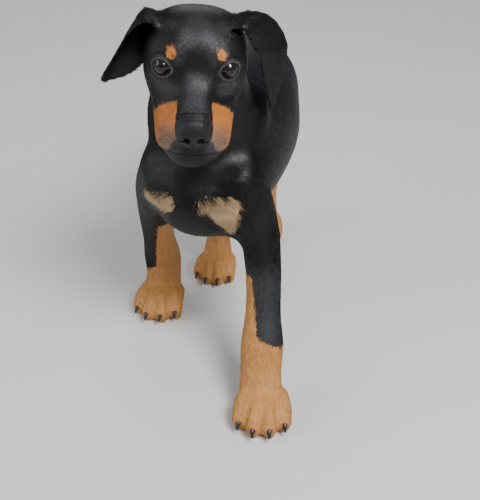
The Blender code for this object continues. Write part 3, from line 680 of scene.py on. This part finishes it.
def chest_patches(body):
    """Millimetres inside the two pale patches of the chest, below 0 outside them."""
    return np.maximum.reduce((
        capsule(body, (-53.0, -34.0, 187.0), (-28.0, -53.0, 193.0), 6.5, 10.0),
        capsule(body, (10.0, -59.0, 198.0), (34.0, -53.0, 196.0), 6.0, 8.0),
        capsule(body, (23.0, -57.0, 190.0), (29.0, -50.0, 178.0), 8.5, 7.5),
        capsule(body, (34.0, -53.0, 193.0), (32.0, -46.0, 164.0), 8.0, 5.0),
    ))


def tan_of_leg(name, place, offset):
    """Millimetres inside the tan of a leg or its paw: all of it low down, and a strip up its inner side."""
    height = place[:, 2]
    left = name.endswith("left")
    inward = -offset[:, 0] if left else offset[:, 0]
    if name.startswith("fore"):
        low = (76.0 if left else 56.0) - height + 0.5 * inward
        strip = inward - (3.0 if left else -1.0) - 0.14 * (height - 76.0)
        return np.maximum(low, np.minimum(strip, 124.0 - height))
    low = 72.0 - height + 0.5 * inward - 0.5 * offset[:, 1]
    return np.maximum(low, np.minimum(inward + 2.0, 168.0 - height))


def markings_and_sheen(points, names):
    """How far inside the tan, in millimetres, and how orange, pale and grey the coat is at each point. The
    grey is grey hair in places and mostly a painted sheen of light on the black hair.
    """
    half = halved(in_head(points))
    body = in_body(points)
    of_head = np.isin(names, HEAD_NODES)
    face, throat = tan_of_head(half)
    tan = np.where(of_head, face, np.where(names == "neck", throat, -20.0))
    # Grey on the head, and a grey ring round each opening between the lids that is a painted highlight on the
    # lids' edges
    grey = of_head * grey_of_head(half) + 0.9 * soft_step(3.2, 1.2, nearer_lids(points, 18, 30))

    chest = chest_patches(body)
    front = np.isin(names, ("torso", "neck", "foreleg_left", "foreleg_right")) & (body[:, 1] < 0)
    tan = np.where(front, np.maximum(tan, chest), tan)
    pale = front * soft_step(-6, 2, chest)
    # A painted highlight of light on the fluffy hair above the right chest patch
    grey += front * 0.45 * soft_step(-5, 5, blob(body, (-40.0, -47.0, 211.0), (14.0, 12.0, 12.0)))

    for name in FLESH:
        if name.startswith(("fore", "hind")):
            here = names == name
            place = body[here]
            offset, _ = course_place(place, name.replace("paw", "leg"))
            tan[here] = np.maximum(tan[here], tan_of_leg(name, place, offset))
            if name == "foreleg_left":
                # A painted grey sheen of light on the black hair at the front of the left foreleg
                shin_sheen = soft_step(2, -8, offset[:, 1]) * soft_step(142, 122, place[:, 2])
                grey[here] += 0.65 * shin_sheen * soft_step(1, -2, tan[here])
    vent = blob(body, (0.0, 240.0, 216.0), (17.0, 20.0, 17.0))
    tan = np.where(names == "torso", np.maximum(tan, vent), tan)
    orange = np.where(of_head, 1.0, 0.25)
    return np.clip(tan, -20, 20), orange, pale, np.clip(grey, 0, 1)


def nose_edge(head):
    """How far back along the head, in millimetres, the leather of the nose shows above it and beside it."""
    top = soft_step(-10, -3, head[:, 2])
    return -59.0 - top * (6.5 - 3.0 * (head[:, 0] / 12) ** 2)


# The way the coat lies, as pairs of a place in millimetres and a direction

HEAD_FLOW = (
    ((0, -70, 2), (0, 1, 0.15)), ((0, -45, 8), (0, 1, 0.4)), ((0, -25, 27), (0, 0.8, 0.8)),
    ((0, 0, 40), (0, 1, 0.1)), ((0, 30, 32), (0, 1, -0.4)), ((0, 50, 0), (0, 0.3, -1)),
    ((24, -25, 26), (0.4, 0.9, 0.4)), ((30, 5, 34), (0.5, 1, 0)), ((40, 10, 10), (0.1, 0.7, -0.7)),
    ((18, -35, 5), (0.2, 0.9, -0.1)), ((28, -34, -2), (0.5, 0.8, -0.4)), ((42, -8, -5), (0.1, 0.8, -0.6)),
    ((26, -62, -20), (0.5, 0.9, -0.4)), ((22, -76, -28), (0.8, 0.4, -0.6)), ((8, -80, -33), (0.8, 0.2, -0.6)),
    ((34, -45, -30), (0.2, 1, -0.3)), ((40, -15, -28), (0, 0.9, -0.6)), ((38, 20, -15), (0, 0.5, -1)),
    ((0, -76, -50), (0, 0.2, -1)), ((0, -50, -60), (0, 1, 0)), ((0, -10, -46), (0, 0.6, -0.8)),
)
BODY_FLOW = (
    ((0, -42, 285), (0, 0, -1)), ((45, 0, 280), (0.1, 0.3, -1)), ((0, 45, 300), (0, 0.6, -0.8)),
    ((35, 40, 270), (0.3, 0.6, -0.7)), ((0, 60, 275), (0, 1, -0.1)), ((0, -60, 200), (0, -0.1, -1)),
    ((25, -56, 205), (0.9, 0.2, -0.6)), ((45, -40, 200), (0.8, 0.6, -0.5)), ((55, 10, 220), (0, 0.4, -0.9)),
    ((0, -45, 160), (0, 0.5, -0.9)), ((30, -20, 150), (0.3, 0.5, -0.8)), ((0, 0, 135), (0, 1, 0)),
    ((60, 60, 200), (0, 0.9, -0.5)), ((0, 130, 262), (0, 1, 0)), ((50, 130, 200), (0, 0.9, -0.4)),
    ((0, 90, 135), (0, 1, 0.1)), ((0, 210, 258), (0, 1, -0.3)), ((50, 200, 215), (0, 0.6, -0.8)),
    ((0, 242, 225), (0, 0.2, -1)), ((0, 190, 175), (0, 0.6, -0.8)),
)
EAR_COURSES = {
    "ear_right": ((-30, 14, 25), (-40, 16, 26), (-48, 15, 14), (-56, 10, -3), (-65, 5, -19), (-74, 3, -29),
                  (-81, 0, -34)),
    "ear_left": ((30, 14, 26), (46, 15, 30), (59, 15, 21), (68, 13, 0), (70, 9, -20), (70, 3, -39),
                 (71, -1, -56)),
}


def guided(points, guides, mirror):
    """Directions blended from guides by nearness."""
    total = np.zeros_like(points)
    for place, way in guides:
        for side in ((1, -1) if place[0] and mirror else (1,)):
            near = np.linalg.norm(points - (side * place[0], place[1], place[2]), axis=1)
            weight = 1 / np.maximum(near, 4) ** 3
            total += weight[:, None] * unit(np.array([[side * way[0], way[1], way[2]]], float))
    return total


def coat_flow(points, normals, names, edges):
    """A unit vector along the skin at every vertex, the way its hair lies."""
    head = in_head(points)
    body = in_body(points)
    flow = guided(body, BODY_FLOW, True)
    of_head = np.isin(names, HEAD_NODES)
    flow[of_head] = turned(HEAD, guided(head[of_head], HEAD_FLOW, True))
    for name, course in EAR_COURSES.items():
        here = names == name
        way = guided(head[here], [(a, np.subtract(b, a)) for a, b in zip(course, course[1:])], False)
        flow[here] = turned(HEAD, way)
    for name in COURSES:
        for node in (name, name.replace("leg", "paw")):
            here = names == node
            if here.any():
                flow[here] = course_place(body[here], name)[1]
    flow = relaxed(unit(flow), edges, 25)
    flow -= normals * (flow * normals).sum(1)[:, None]
    return unit(flow)


def add_floats(obj, **values):
    """Keeps values for the materials, one number for each vertex."""
    for name, rows in values.items():
        layer = obj.data.attributes.new(name, "FLOAT", "POINT")
        layer.data.foreach_set("value", np.asarray(rows, np.float32))


points = corners_of(skin)
normals = unit(relaxed(normals_of(skin), edges, 3))
names = np.array(FLESH)[labels]
flow = coat_flow(points, normals, names, edges)
tan, orange, pale, grey = markings_and_sheen(points, names)
lid = nearer_lids(points, 16, 9)
add_floats(skin, tan=tan, orange=orange, pale=pale, grey=grey, lid=lid, down=np.abs(flow[:, 2]))


def unwrap(obj):
    """The skin's own flat shape, for what is painted on it and on the coat."""
    only(obj)
    bpy.ops.object.mode_set(mode="EDIT")
    bpy.ops.mesh.select_all(action="SELECT")
    bpy.ops.uv.smart_project(angle_limit=math.radians(66), island_margin=0.002)
    bpy.ops.object.mode_set(mode="OBJECT")
    obj.data.uv_layers[0].name = "OFBake"


unwrap(skin)


# Coat


def skin_triangles():
    """The skin's triangles as rows of vertices, their corners' places on its flat shape, and their areas."""
    mesh = skin.data
    mesh.calc_loop_triangles()
    rows = read(mesh.loop_triangles, "vertices", np.int32, 3)
    loops = read(mesh.loop_triangles, "loops", np.int32, 3)
    places = read(mesh.uv_layers["OFBake"].data, "uv", np.float32, 2)[loops]
    corners = points[rows]
    cross = np.cross(corners[:, 1] - corners[:, 0], corners[:, 2] - corners[:, 0])
    return rows, places, np.linalg.norm(cross, axis=1) / 2


def mixed(values, rows, shares):
    """Values of the vertices taken to places inside their triangles."""
    picked = values[rows]
    return (picked * (shares if picked.ndim == 2 else shares[:, :, None])).sum(1)


def spikes(name, corners, shine, spots):
    """A piece of closed spikes of four faces, with each corner's normal and its place on the flat shape."""
    faces = np.array(((0, 2, 1), (0, 1, 3), (1, 2, 3), (2, 0, 3)))
    faces = (faces[None] + 4 * np.arange(len(corners) // 4)[:, None, None]).reshape(-1, 3)
    mesh = bpy.data.meshes.new(name)
    mesh.vertices.add(len(corners))
    mesh.vertices.foreach_set("co", corners.astype(np.float32).ravel())
    mesh.loops.add(faces.size)
    mesh.loops.foreach_set("vertex_index", faces.astype(np.int32).ravel())
    mesh.polygons.add(len(faces))
    mesh.polygons.foreach_set("loop_start", np.arange(0, faces.size, 3, dtype=np.int32))
    mesh.update(calc_edges=True)
    mesh.shade_smooth()
    mesh.normals_split_custom_set_from_vertices(unit(shine))
    layer = mesh.uv_layers.new(name="OFBake")
    layer.data.foreach_set("uv", np.clip(spots, 0.0005, 0.9995)[faces.ravel()].astype(np.float32).ravel())
    return linked(name, mesh)


def coat_piece(name, chance, tufts, length, width):
    """Tufts of flat hairs, rooted in the skin by chance, in one piece."""
    rows, flat, areas = TRIANGLES
    share = areas * chance[rows].mean(1)
    chosen = rng.choice(len(rows), tufts, p=share / share.sum())
    a, b = rng.random(tufts), rng.random(tufts)
    outside = a + b > 1
    a, b = np.where(outside, 1 - a, a), np.where(outside, 1 - b, b)
    shares = np.column_stack((1 - a - b, a, b))
    rows = rows[chosen]
    place = (flat[chosen] * shares[:, :, None]).sum(1)
    kept = {key: mixed(values, rows, shares) for key, values in FIELDS.items()}
    loose = mixed(unruly, rows, shares)
    tuft_shade = rng.random(tufts)

    def every(values):
        """A tuft's value for each of its hairs."""
        return np.repeat(values, HAIRS, axis=0)

    count = tufts * HAIRS
    stray = every(loose)
    root = every(mixed(points, rows, shares))
    up = every(unit(mixed(normals, rows, shares)))
    along = every(unit(mixed(flow, rows, shares)))
    long = every(mixed(length, rows, shares))
    wide = every(mixed(width, rows, shares))
    across = np.cross(up, along)
    spread_by = (rng.random((count, 2)) - 0.5) * (wide * 7.0)[:, None]
    root = root + across * spread_by[:, :1] + along * spread_by[:, 1:]
    swing = rng.normal(0, 0.13, count) * (1 + stray)
    along = unit(along * np.cos(swing)[:, None] + across * np.sin(swing)[:, None])
    across = np.cross(up, along)
    long = long * rng.uniform(0.7, 1.15, count)
    lift = np.tan(np.radians(rng.uniform(2.5, 6.5, count) * (1 + 4 * stray)))
    foot = root - along * (long * 0.08)[:, None] - up * (long * 0.02)[:, None]
    left, right = foot - across * (wide / 2)[:, None], foot + across * (wide / 2)[:, None]
    crest = root + along * (long * 0.12)[:, None] + up * (wide * 0.30 + long * lift * 0.3)[:, None]
    tip = root + along * long[:, None] + up * (long * lift * 0.8)[:, None]
    corners = np.stack((left, right, crest, tip), axis=1).reshape(-1, 3)
    corners[:, 2] = np.maximum(corners[:, 2], FLOOR_GAP)
    shine = np.stack((up - 0.5 * across, up + 0.5 * across, up, up), axis=1).reshape(-1, 3)
    patch = np.array(((-1, -1), (1, -1), (0, 0), (0, 1)), float) * 0.0015
    obj = spikes(name, corners, shine, (every(place)[:, None, :] + patch[None]).reshape(-1, 2))
    kept["tan"] = kept["tan"] + rng.normal(0, 0.5, tufts) + 4 * loose * kept["pale"] * rng.normal(0, 1, tufts)
    add_floats(obj, **{key: np.repeat(every(values), 4) for key, values in kept.items()})
    shade = np.clip(every(tuft_shade) * 0.35 + rng.random(count) * 0.65, 0, 1)
    add_floats(obj, shade=np.repeat(shade, 4))
    return obj


FIELDS = {"tan": tan, "orange": orange, "pale": pale, "grey": grey}
TRIANGLES = skin_triangles()
head = in_head(points)
body = in_body(points)

length = by_node(HAIR_LENGTHS, labels, edges) / 1000
width = by_node(HAIR_WIDTHS, labels, edges) / 1000
of_muzzle = soft_step(-30, -55, head[:, 1]) * np.isin(names, HEAD_NODES)
length *= 1 - 0.45 * of_muzzle
eye_reach = nearer_lids(points, 22, 30)
length *= 0.45 + 0.55 * soft_step(1, 9, eye_reach)
ear_roots = blob(halved(head), (34, 10, 37), (13, 17, 10))
breast = np.maximum(blob(body, (-38, -50, 204), (17, 12, 13)), blob(body, (14, -57, 203), (17, 10, 9)))
unruly = np.clip(soft_step(-4, 6, ear_roots) + 0.7 * soft_step(-5, 6, breast), 0, 1)
length *= 1 + 1.3 * unruly

# Where no hair grows: on the rims of the lids, between the lips, below the nose and under the paws
lips_apart, _ = mouth_distance(head)
lips_near = (head[:, 1] < -28) & (np.abs(head[:, 0]) < LIPS_OUT) & (lips_apart < 1.0)
under_nose = head[:, 1] < nose_edge(head)
under_nose &= (np.abs(head[:, 0]) < 17) & (head[:, 2] > -27) & (head[:, 2] < 6)
pads = np.char.count(names, "paw").astype(bool) & (normals[:, 2] < -0.55) & (body[:, 2] < 9)
hairy = 1.0 - ((eye_reach < 1.2) | lips_near | under_nose | pads)
hairy *= (1 - 0.85 * between_toes(points)) * (1 - at_claws(points))

COAT_PIECES = {
    "coat_head": (np.isin(names, HEAD_NODES), 9900),
    "coat_ears": (np.isin(names, ("ear_left", "ear_right")), 7600),
    "coat_neck": (names == "neck", 8600),
    "coat_torso_left": ((names == "torso") & (body[:, 0] >= 0), 9900),
    "coat_torso_right": ((names == "torso") & (body[:, 0] < 0), 9900),
    "coat_forelegs": (np.char.startswith(names, "fore"), 9900),
    "coat_hindlegs": (np.char.startswith(names, "hind") | (names == "tail"), 9900),
}
coats = [coat_piece(name, hairy * mask, tufts, length, width) for name, (mask, tufts) in COAT_PIECES.items()]


# Eyes, nose and claws


def node_copy(solids, name, subdivisions=0, voxel=None):
    """One welded piece from copies of solids, that takes their place."""
    bm = bmesh.new()
    for solid in solids:
        bm.from_mesh(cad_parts[solid].data)
    bmesh.ops.remove_doubles(bm, verts=bm.verts, dist=WELD)
    obj = piece_from(bm, name)
    if voxel:
        melt = obj.modifiers.new("melt", "REMESH")
        melt.mode = "VOXEL"
        melt.voxel_size = voxel
    if subdivisions:
        finer = obj.modifiers.new("finer", "SUBSURF")
        finer.levels = subdivisions
    apply_modifiers(obj)
    obj.data.shade_smooth()
    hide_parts(*solids)
    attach(obj, "root")
    return obj


def make_eye(name, side):
    """A round eye with the low swell of its cornea. Each corner keeps its angle from the eye's look."""
    bm = bmesh.new()
    bmesh.ops.create_uvsphere(bm, u_segments=64, v_segments=48, radius=EYE_RADIUS)
    turn = []
    for v in bm.verts:
        cosine = v.co.z / EYE_RADIUS
        turn.append(math.acos(max(-1, min(1, cosine))))
        swell = max(0, (cosine - 0.80) / 0.20)
        v.co *= 1 + 0.075 * swell * (2 - swell)
    obj = piece_from(bm, name + "_ball")
    obj.data.transform(eye_frame(side) @ Matrix.Rotation(math.radians(90), 4, "X"))
    add_floats(obj, turn=np.degrees(turn))
    obj.data.shade_smooth()
    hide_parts(name)
    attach(obj, "root")
    return obj


def make_nose():
    """The nose with its top flattened and grooved, and the rear of its top sunk below the coat."""
    nose = node_copy(["nose"], "nose_leather", voxel=0.00045)
    edges = edges_of(nose)
    shaped = in_head(settled(corners_of(nose), edges, 5))
    top = soft_step(-9, -1, shaped[:, 2])
    shaped[:, 2] += 1.9 * top * ridge(shaped[:, 1], -78.5, 4.2) * (1 - (shaped[:, 0] / 22) ** 2)
    shaped[:, 2] -= 0.5 * top * ridge(shaped[:, 0], 0, 3.0) * soft_step(-74, -80, shaped[:, 1])
    hidden = soft_step(-2.4, 1.6, shaped[:, 1] - nose_edge(shaped))
    shaped[:, 2] -= 2.2 * top * hidden
    shaped[:, 0] *= 1 - 0.10 * hidden
    shaped = relaxed(shaped, edges, 14, weights=top)
    set_corners(nose, carried(HEAD, shaped / 1000))
    return nose


eyes = [make_eye("eye_left", 1), make_eye("eye_right", -1)]
nose = make_nose()
claws = node_copy(CLAWS, "claws", subdivisions=2)


def whisker_roots():
    """Roots and ends of the whiskers on the lips, over the eyes and on the cheeks, in the head's frame."""
    for side in (1, -1):
        for k, (y, z) in enumerate(((-72, -20), (-64, -19), (-70, -27), (-61, -26), (-66, -31))):
            root = Vector((side * 22, y, z))
            yield root, root + Vector((side * (13 + 3 * (k % 2)), 4 + 2 * (k % 3), -11 + 3 * (k % 2)))
        root = Vector((side * 21, -26, 30))
        yield root, root + Vector((side * 4, -6, 9))
        root = Vector((side * 37, -30, -20))
        yield root, root + Vector((side * 13, 2, -7))


def whiskers():
    """Thin tapered hairs of their own, each dropped on to the skin along its first run."""
    skin_tree = BVHTree.FromObject(skin, bpy.context.evaluated_depsgraph_get())
    bm = bmesh.new()
    for root, end in whisker_roots():
        way = (end - root).normalized()
        place, _, _, _ = skin_tree.find_nearest(HEAD @ (root / 1000))
        run = HEAD.to_3x3() @ (end - root) / 1000
        sag = Vector((0, 0, -0.0016))
        aside = way.orthogonal().normalized()
        upward = way.cross(aside)
        spokes = (aside, upward, -aside, -upward)
        rings = []
        for t in (-0.08, 0.2, 0.45, 0.7, 0.88):
            middle = place + run * t + sag * t * t
            radius = 0.00012 * (1 - 0.75 * max(t, 0))
            rings.append([bm.verts.new(middle + radius * spoke) for spoke in spokes])
        tip = bm.verts.new(place + run + sag)
        for first, second in zip(rings, rings[1:]):
            for k in range(4):
                bm.faces.new((first[k], first[(k + 1) % 4], second[(k + 1) % 4], second[k]))
        for k in range(4):
            bm.faces.new((rings[-1][k], rings[-1][(k + 1) % 4], tip))
        bm.faces.new(rings[0][::-1])
    bmesh.ops.recalc_face_normals(bm, faces=bm.faces)
    obj = piece_from(bm, "whiskers")
    obj.data.shade_smooth()
    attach(obj, "root")
    return obj


bristles = whiskers()


# Materials


def material(name, **values):
    """A new material and its main shader with some of its values set."""
    made = bpy.data.materials.new(name)
    made.use_nodes = True
    shader = made.node_tree.nodes["Principled BSDF"]
    for socket, value in values.items():
        shader.inputs[socket.replace("_", " ")].default_value = value
    return made, shader


def feed(tree, socket, value):
    """Sets a socket to a value, or links it where the value is another node's output."""
    if isinstance(value, bpy.types.NodeSocket):
        tree.links.new(value, socket)
    else:
        socket.default_value = value


def node(tree, kind, **inputs):
    made = tree.nodes.new(kind)
    for socket, value in inputs.items():
        feed(tree, made.inputs[socket.replace("_", " ")], value)
    return made


def attribute(tree, name):
    made = tree.nodes.new("ShaderNodeAttribute")
    made.attribute_name = name
    return made.outputs["Fac"]


def surface_place(tree):
    return tree.nodes.new("ShaderNodeTexCoord").outputs["Object"]


def mix_colours(tree, factor, first, second):
    made = tree.nodes.new("ShaderNodeMix")
    made.data_type = "RGBA"
    for socket, value in ((0, factor), (6, first), (7, second)):
        feed(tree, made.inputs[socket], value)
    return made.outputs[2]


def arithmetic(tree, operation, first, second):
    made = tree.nodes.new("ShaderNodeMath")
    made.operation = operation
    for socket, value in enumerate((first, second)):
        feed(tree, made.inputs[socket], value)
    return made.outputs[0]


def ranged(tree, value, low, high):
    """0 below the low value and 1 above the high one, with a soft change between them."""
    made = node(tree, "ShaderNodeMapRange", Value=value, From_Min=low, From_Max=high)
    made.interpolation_type = "SMOOTHSTEP"
    return made.outputs["Result"]


def coat_colours():
    """The group that turns the markings and the painted sheen of light on the black coat into a colour, with
    the edge of the tan broken by noise.
    """
    group = bpy.data.node_groups.new("Coat colours", "ShaderNodeTree")
    for name in ("Tan", "Orange", "Pale", "Grey", "Shade"):
        group.interface.new_socket(name, in_out="INPUT", socket_type="NodeSocketFloat")
    group.interface.new_socket("Colour", in_out="OUTPUT", socket_type="NodeSocketColor")
    given = group.nodes.new("NodeGroupInput").outputs
    result = group.nodes.new("NodeGroupOutput").inputs
    place = surface_place(group)
    edge_noise = node(group, "ShaderNodeTexNoise", Vector=place, Scale=420.0, Detail=3.0)
    broken = arithmetic(group, "SUBTRACT", edge_noise.outputs["Fac"], 0.5)
    reach = arithmetic(group, "ADD", given["Tan"], arithmetic(group, "MULTIPLY", broken, 3.0))
    mask = ranged(group, reach, -0.9, 0.9)
    speck = node(group, "ShaderNodeTexNoise", Vector=place, Scale=2600.0, Detail=2.0)
    speckle = ranged(group, speck.outputs["Fac"], 0.40, 0.64)
    black = mix_colours(group, given["Shade"], BLACK, SOFT_BLACK)
    # Grey on the black coat: grey hair, and mostly a painted sheen of light, broken into specks
    black = mix_colours(group, arithmetic(group, "MULTIPLY", given["Grey"], speckle), black, GREY_HAIR_AND_SHEEN)
    tan_tone = mix_colours(group, given["Orange"], LEG_TAN, MUZZLE_TAN)
    tan_tone = mix_colours(group, given["Pale"], tan_tone, CHEST_TAN)
    tan_tone = mix_colours(group, arithmetic(group, "MULTIPLY", given["Shade"], 0.22), tan_tone, DEEP_TAN)
    faded = arithmetic(group, "MULTIPLY", given["Grey"], 0.9)
    tan_tone = mix_colours(group, faded, tan_tone, FADED)
    group.links.new(mix_colours(group, mask, black, tan_tone), result["Colour"])
    return group


def use_coat_colours(made, shade):
    """Adds the coat's colour group to a material, fed from the piece's own attributes."""
    tree = made.node_tree
    group = tree.nodes.new("ShaderNodeGroup")
    group.node_tree = COAT_COLOURS
    for name in FIELDS:
        tree.links.new(attribute(tree, name), group.inputs[name.capitalize()])
    feed(tree, group.inputs["Shade"], shade)
    return group.outputs["Colour"]


def skin_finish():
    """What shows between the tufts: the coat's colours, the rims of the lids with a painted highlight on
    their edges, and fine strands of hair.
    """
    made, shader = material("skin", Roughness=0.5, Specular_IOR_Level=0.25)
    tree = made.node_tree
    coat_colour = use_coat_colours(made, 0.4)
    reach = attribute(tree, "lid")
    # The bare edge of the lids is a pale grey painted highlight between the dark rim and the coat
    lid_rim_and_highlight = mix_colours(tree, ranged(tree, reach, 0.15, 0.6), LID_RIM, LID_EDGE_HIGHLIGHT)
    lid_rim_and_highlight = mix_colours(tree, ranged(tree, reach, 0.9, 1.5), lid_rim_and_highlight, coat_colour)
    tree.links.new(lid_rim_and_highlight, shader.inputs["Base Color"])
    place = surface_place(tree)
    heights = []
    for stretch in ((1400, 160, 700), (1400, 700, 160)):
        mapping = node(tree, "ShaderNodeMapping", Vector=place, Scale=stretch)
        strands = node(tree, "ShaderNodeTexNoise", Vector=mapping.outputs["Vector"], Scale=1.0, Detail=2.0)
        heights.append(strands.outputs["Fac"])
    strand_height = mix_colours(tree, attribute(tree, "down"), heights[0], heights[1])
    bump = node(tree, "ShaderNodeBump", Strength=0.6, Distance=0.0006, Height=strand_height)
    tree.links.new(bump.outputs["Normal"], shader.inputs["Normal"])
    return made


def coat_finish():
    """The coat's colours on the tufts, each a little lighter or darker."""
    made, shader = material("coat", Roughness=0.42, Specular_IOR_Level=0.34)
    tree = made.node_tree
    tree.links.new(use_coat_colours(made, attribute(tree, "shade")), shader.inputs["Base Color"])
    return made


def eye_finish():
    """The pupil, the iris with its dark edge and the white, by the angle from the way the eye looks."""
    made, shader = material("eye", Roughness=0.04)
    tree = made.node_tree
    turn = attribute(tree, "turn")
    colour = mix_colours(tree, ranged(tree, turn, 19.0, 23.0), PUPIL, IRIS)
    colour = mix_colours(tree, ranged(tree, turn, 37.0, 42.0), colour, IRIS_EDGE)
    colour = mix_colours(tree, ranged(tree, turn, 58.0, 68.0), colour, EYE_WHITE)
    tree.links.new(colour, shader.inputs["Base Color"])
    return made


def nose_finish():
    """Dull black leather with fine cells."""
    made, shader = material("nose", Base_Color=NOSE_BLACK, Roughness=0.50, Specular_IOR_Level=0.38)
    tree = made.node_tree
    cells = node(tree, "ShaderNodeTexVoronoi", Vector=surface_place(tree), Scale=1250.0)
    cells.feature = "DISTANCE_TO_EDGE"
    height = ranged(tree, cells.outputs["Distance"], 0.0, 0.35)
    bump = node(tree, "ShaderNodeBump", Strength=0.4, Distance=0.0002, Height=height)
    tree.links.new(bump.outputs["Normal"], shader.inputs["Normal"])
    return made


COAT_COLOURS = coat_colours()
skin.data.materials.append(skin_finish())
hair_material = coat_finish()
for coat in coats:
    coat.data.materials.append(hair_material)

eye_material = eye_finish()
for eye in eyes:
    eye.data.materials.append(eye_material)

nose.data.materials.append(nose_finish())

claws.data.materials.append(material("claw", Base_Color=CLAW_HORN, Roughness=0.3)[0])

bristles.data.materials.append(material("whisker", Base_Color=WHISKER_BLACK, Roughness=0.35)[0])

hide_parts(*FLESH)
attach(skin, "root")
for coat in coats:
    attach(coat, "root")


# Camera, floor and light

camera = linked("camera", bpy.data.cameras.new("camera"))
camera.data.sensor_fit = "HORIZONTAL"
camera.data.sensor_width = 36
camera.data.lens = CAMERA_LENS
camera.location = CAMERA_PLACE
camera.rotation_euler = CAMERA_TURN
bpy.context.scene.camera = camera

bpy.ops.mesh.primitive_plane_add(size=FLOOR_SIZE, location=(0, 0, 0))
floor = bpy.context.object
floor.name = "floor"
floor.data.materials.append(material("floor", Base_Color=FLOOR_PALE, Roughness=0.75)[0])

for name, (place, width, power) in LIGHTS.items():
    lamp = linked(name, bpy.data.lights.new(name, "AREA"))
    lamp.data.size = width
    lamp.data.energy = power
    lamp.location = place
    lamp.rotation_euler = (LIT_PLACE - Vector(place)).to_track_quat("-Z", "Y").to_euler()

world = bpy.data.worlds.new("studio")
world.use_nodes = True
air = world.node_tree.nodes["Background"].inputs
air["Color"].default_value = STUDIO_AIR
air["Strength"].default_value = AIR_STRENGTH
bpy.context.scene.world = world
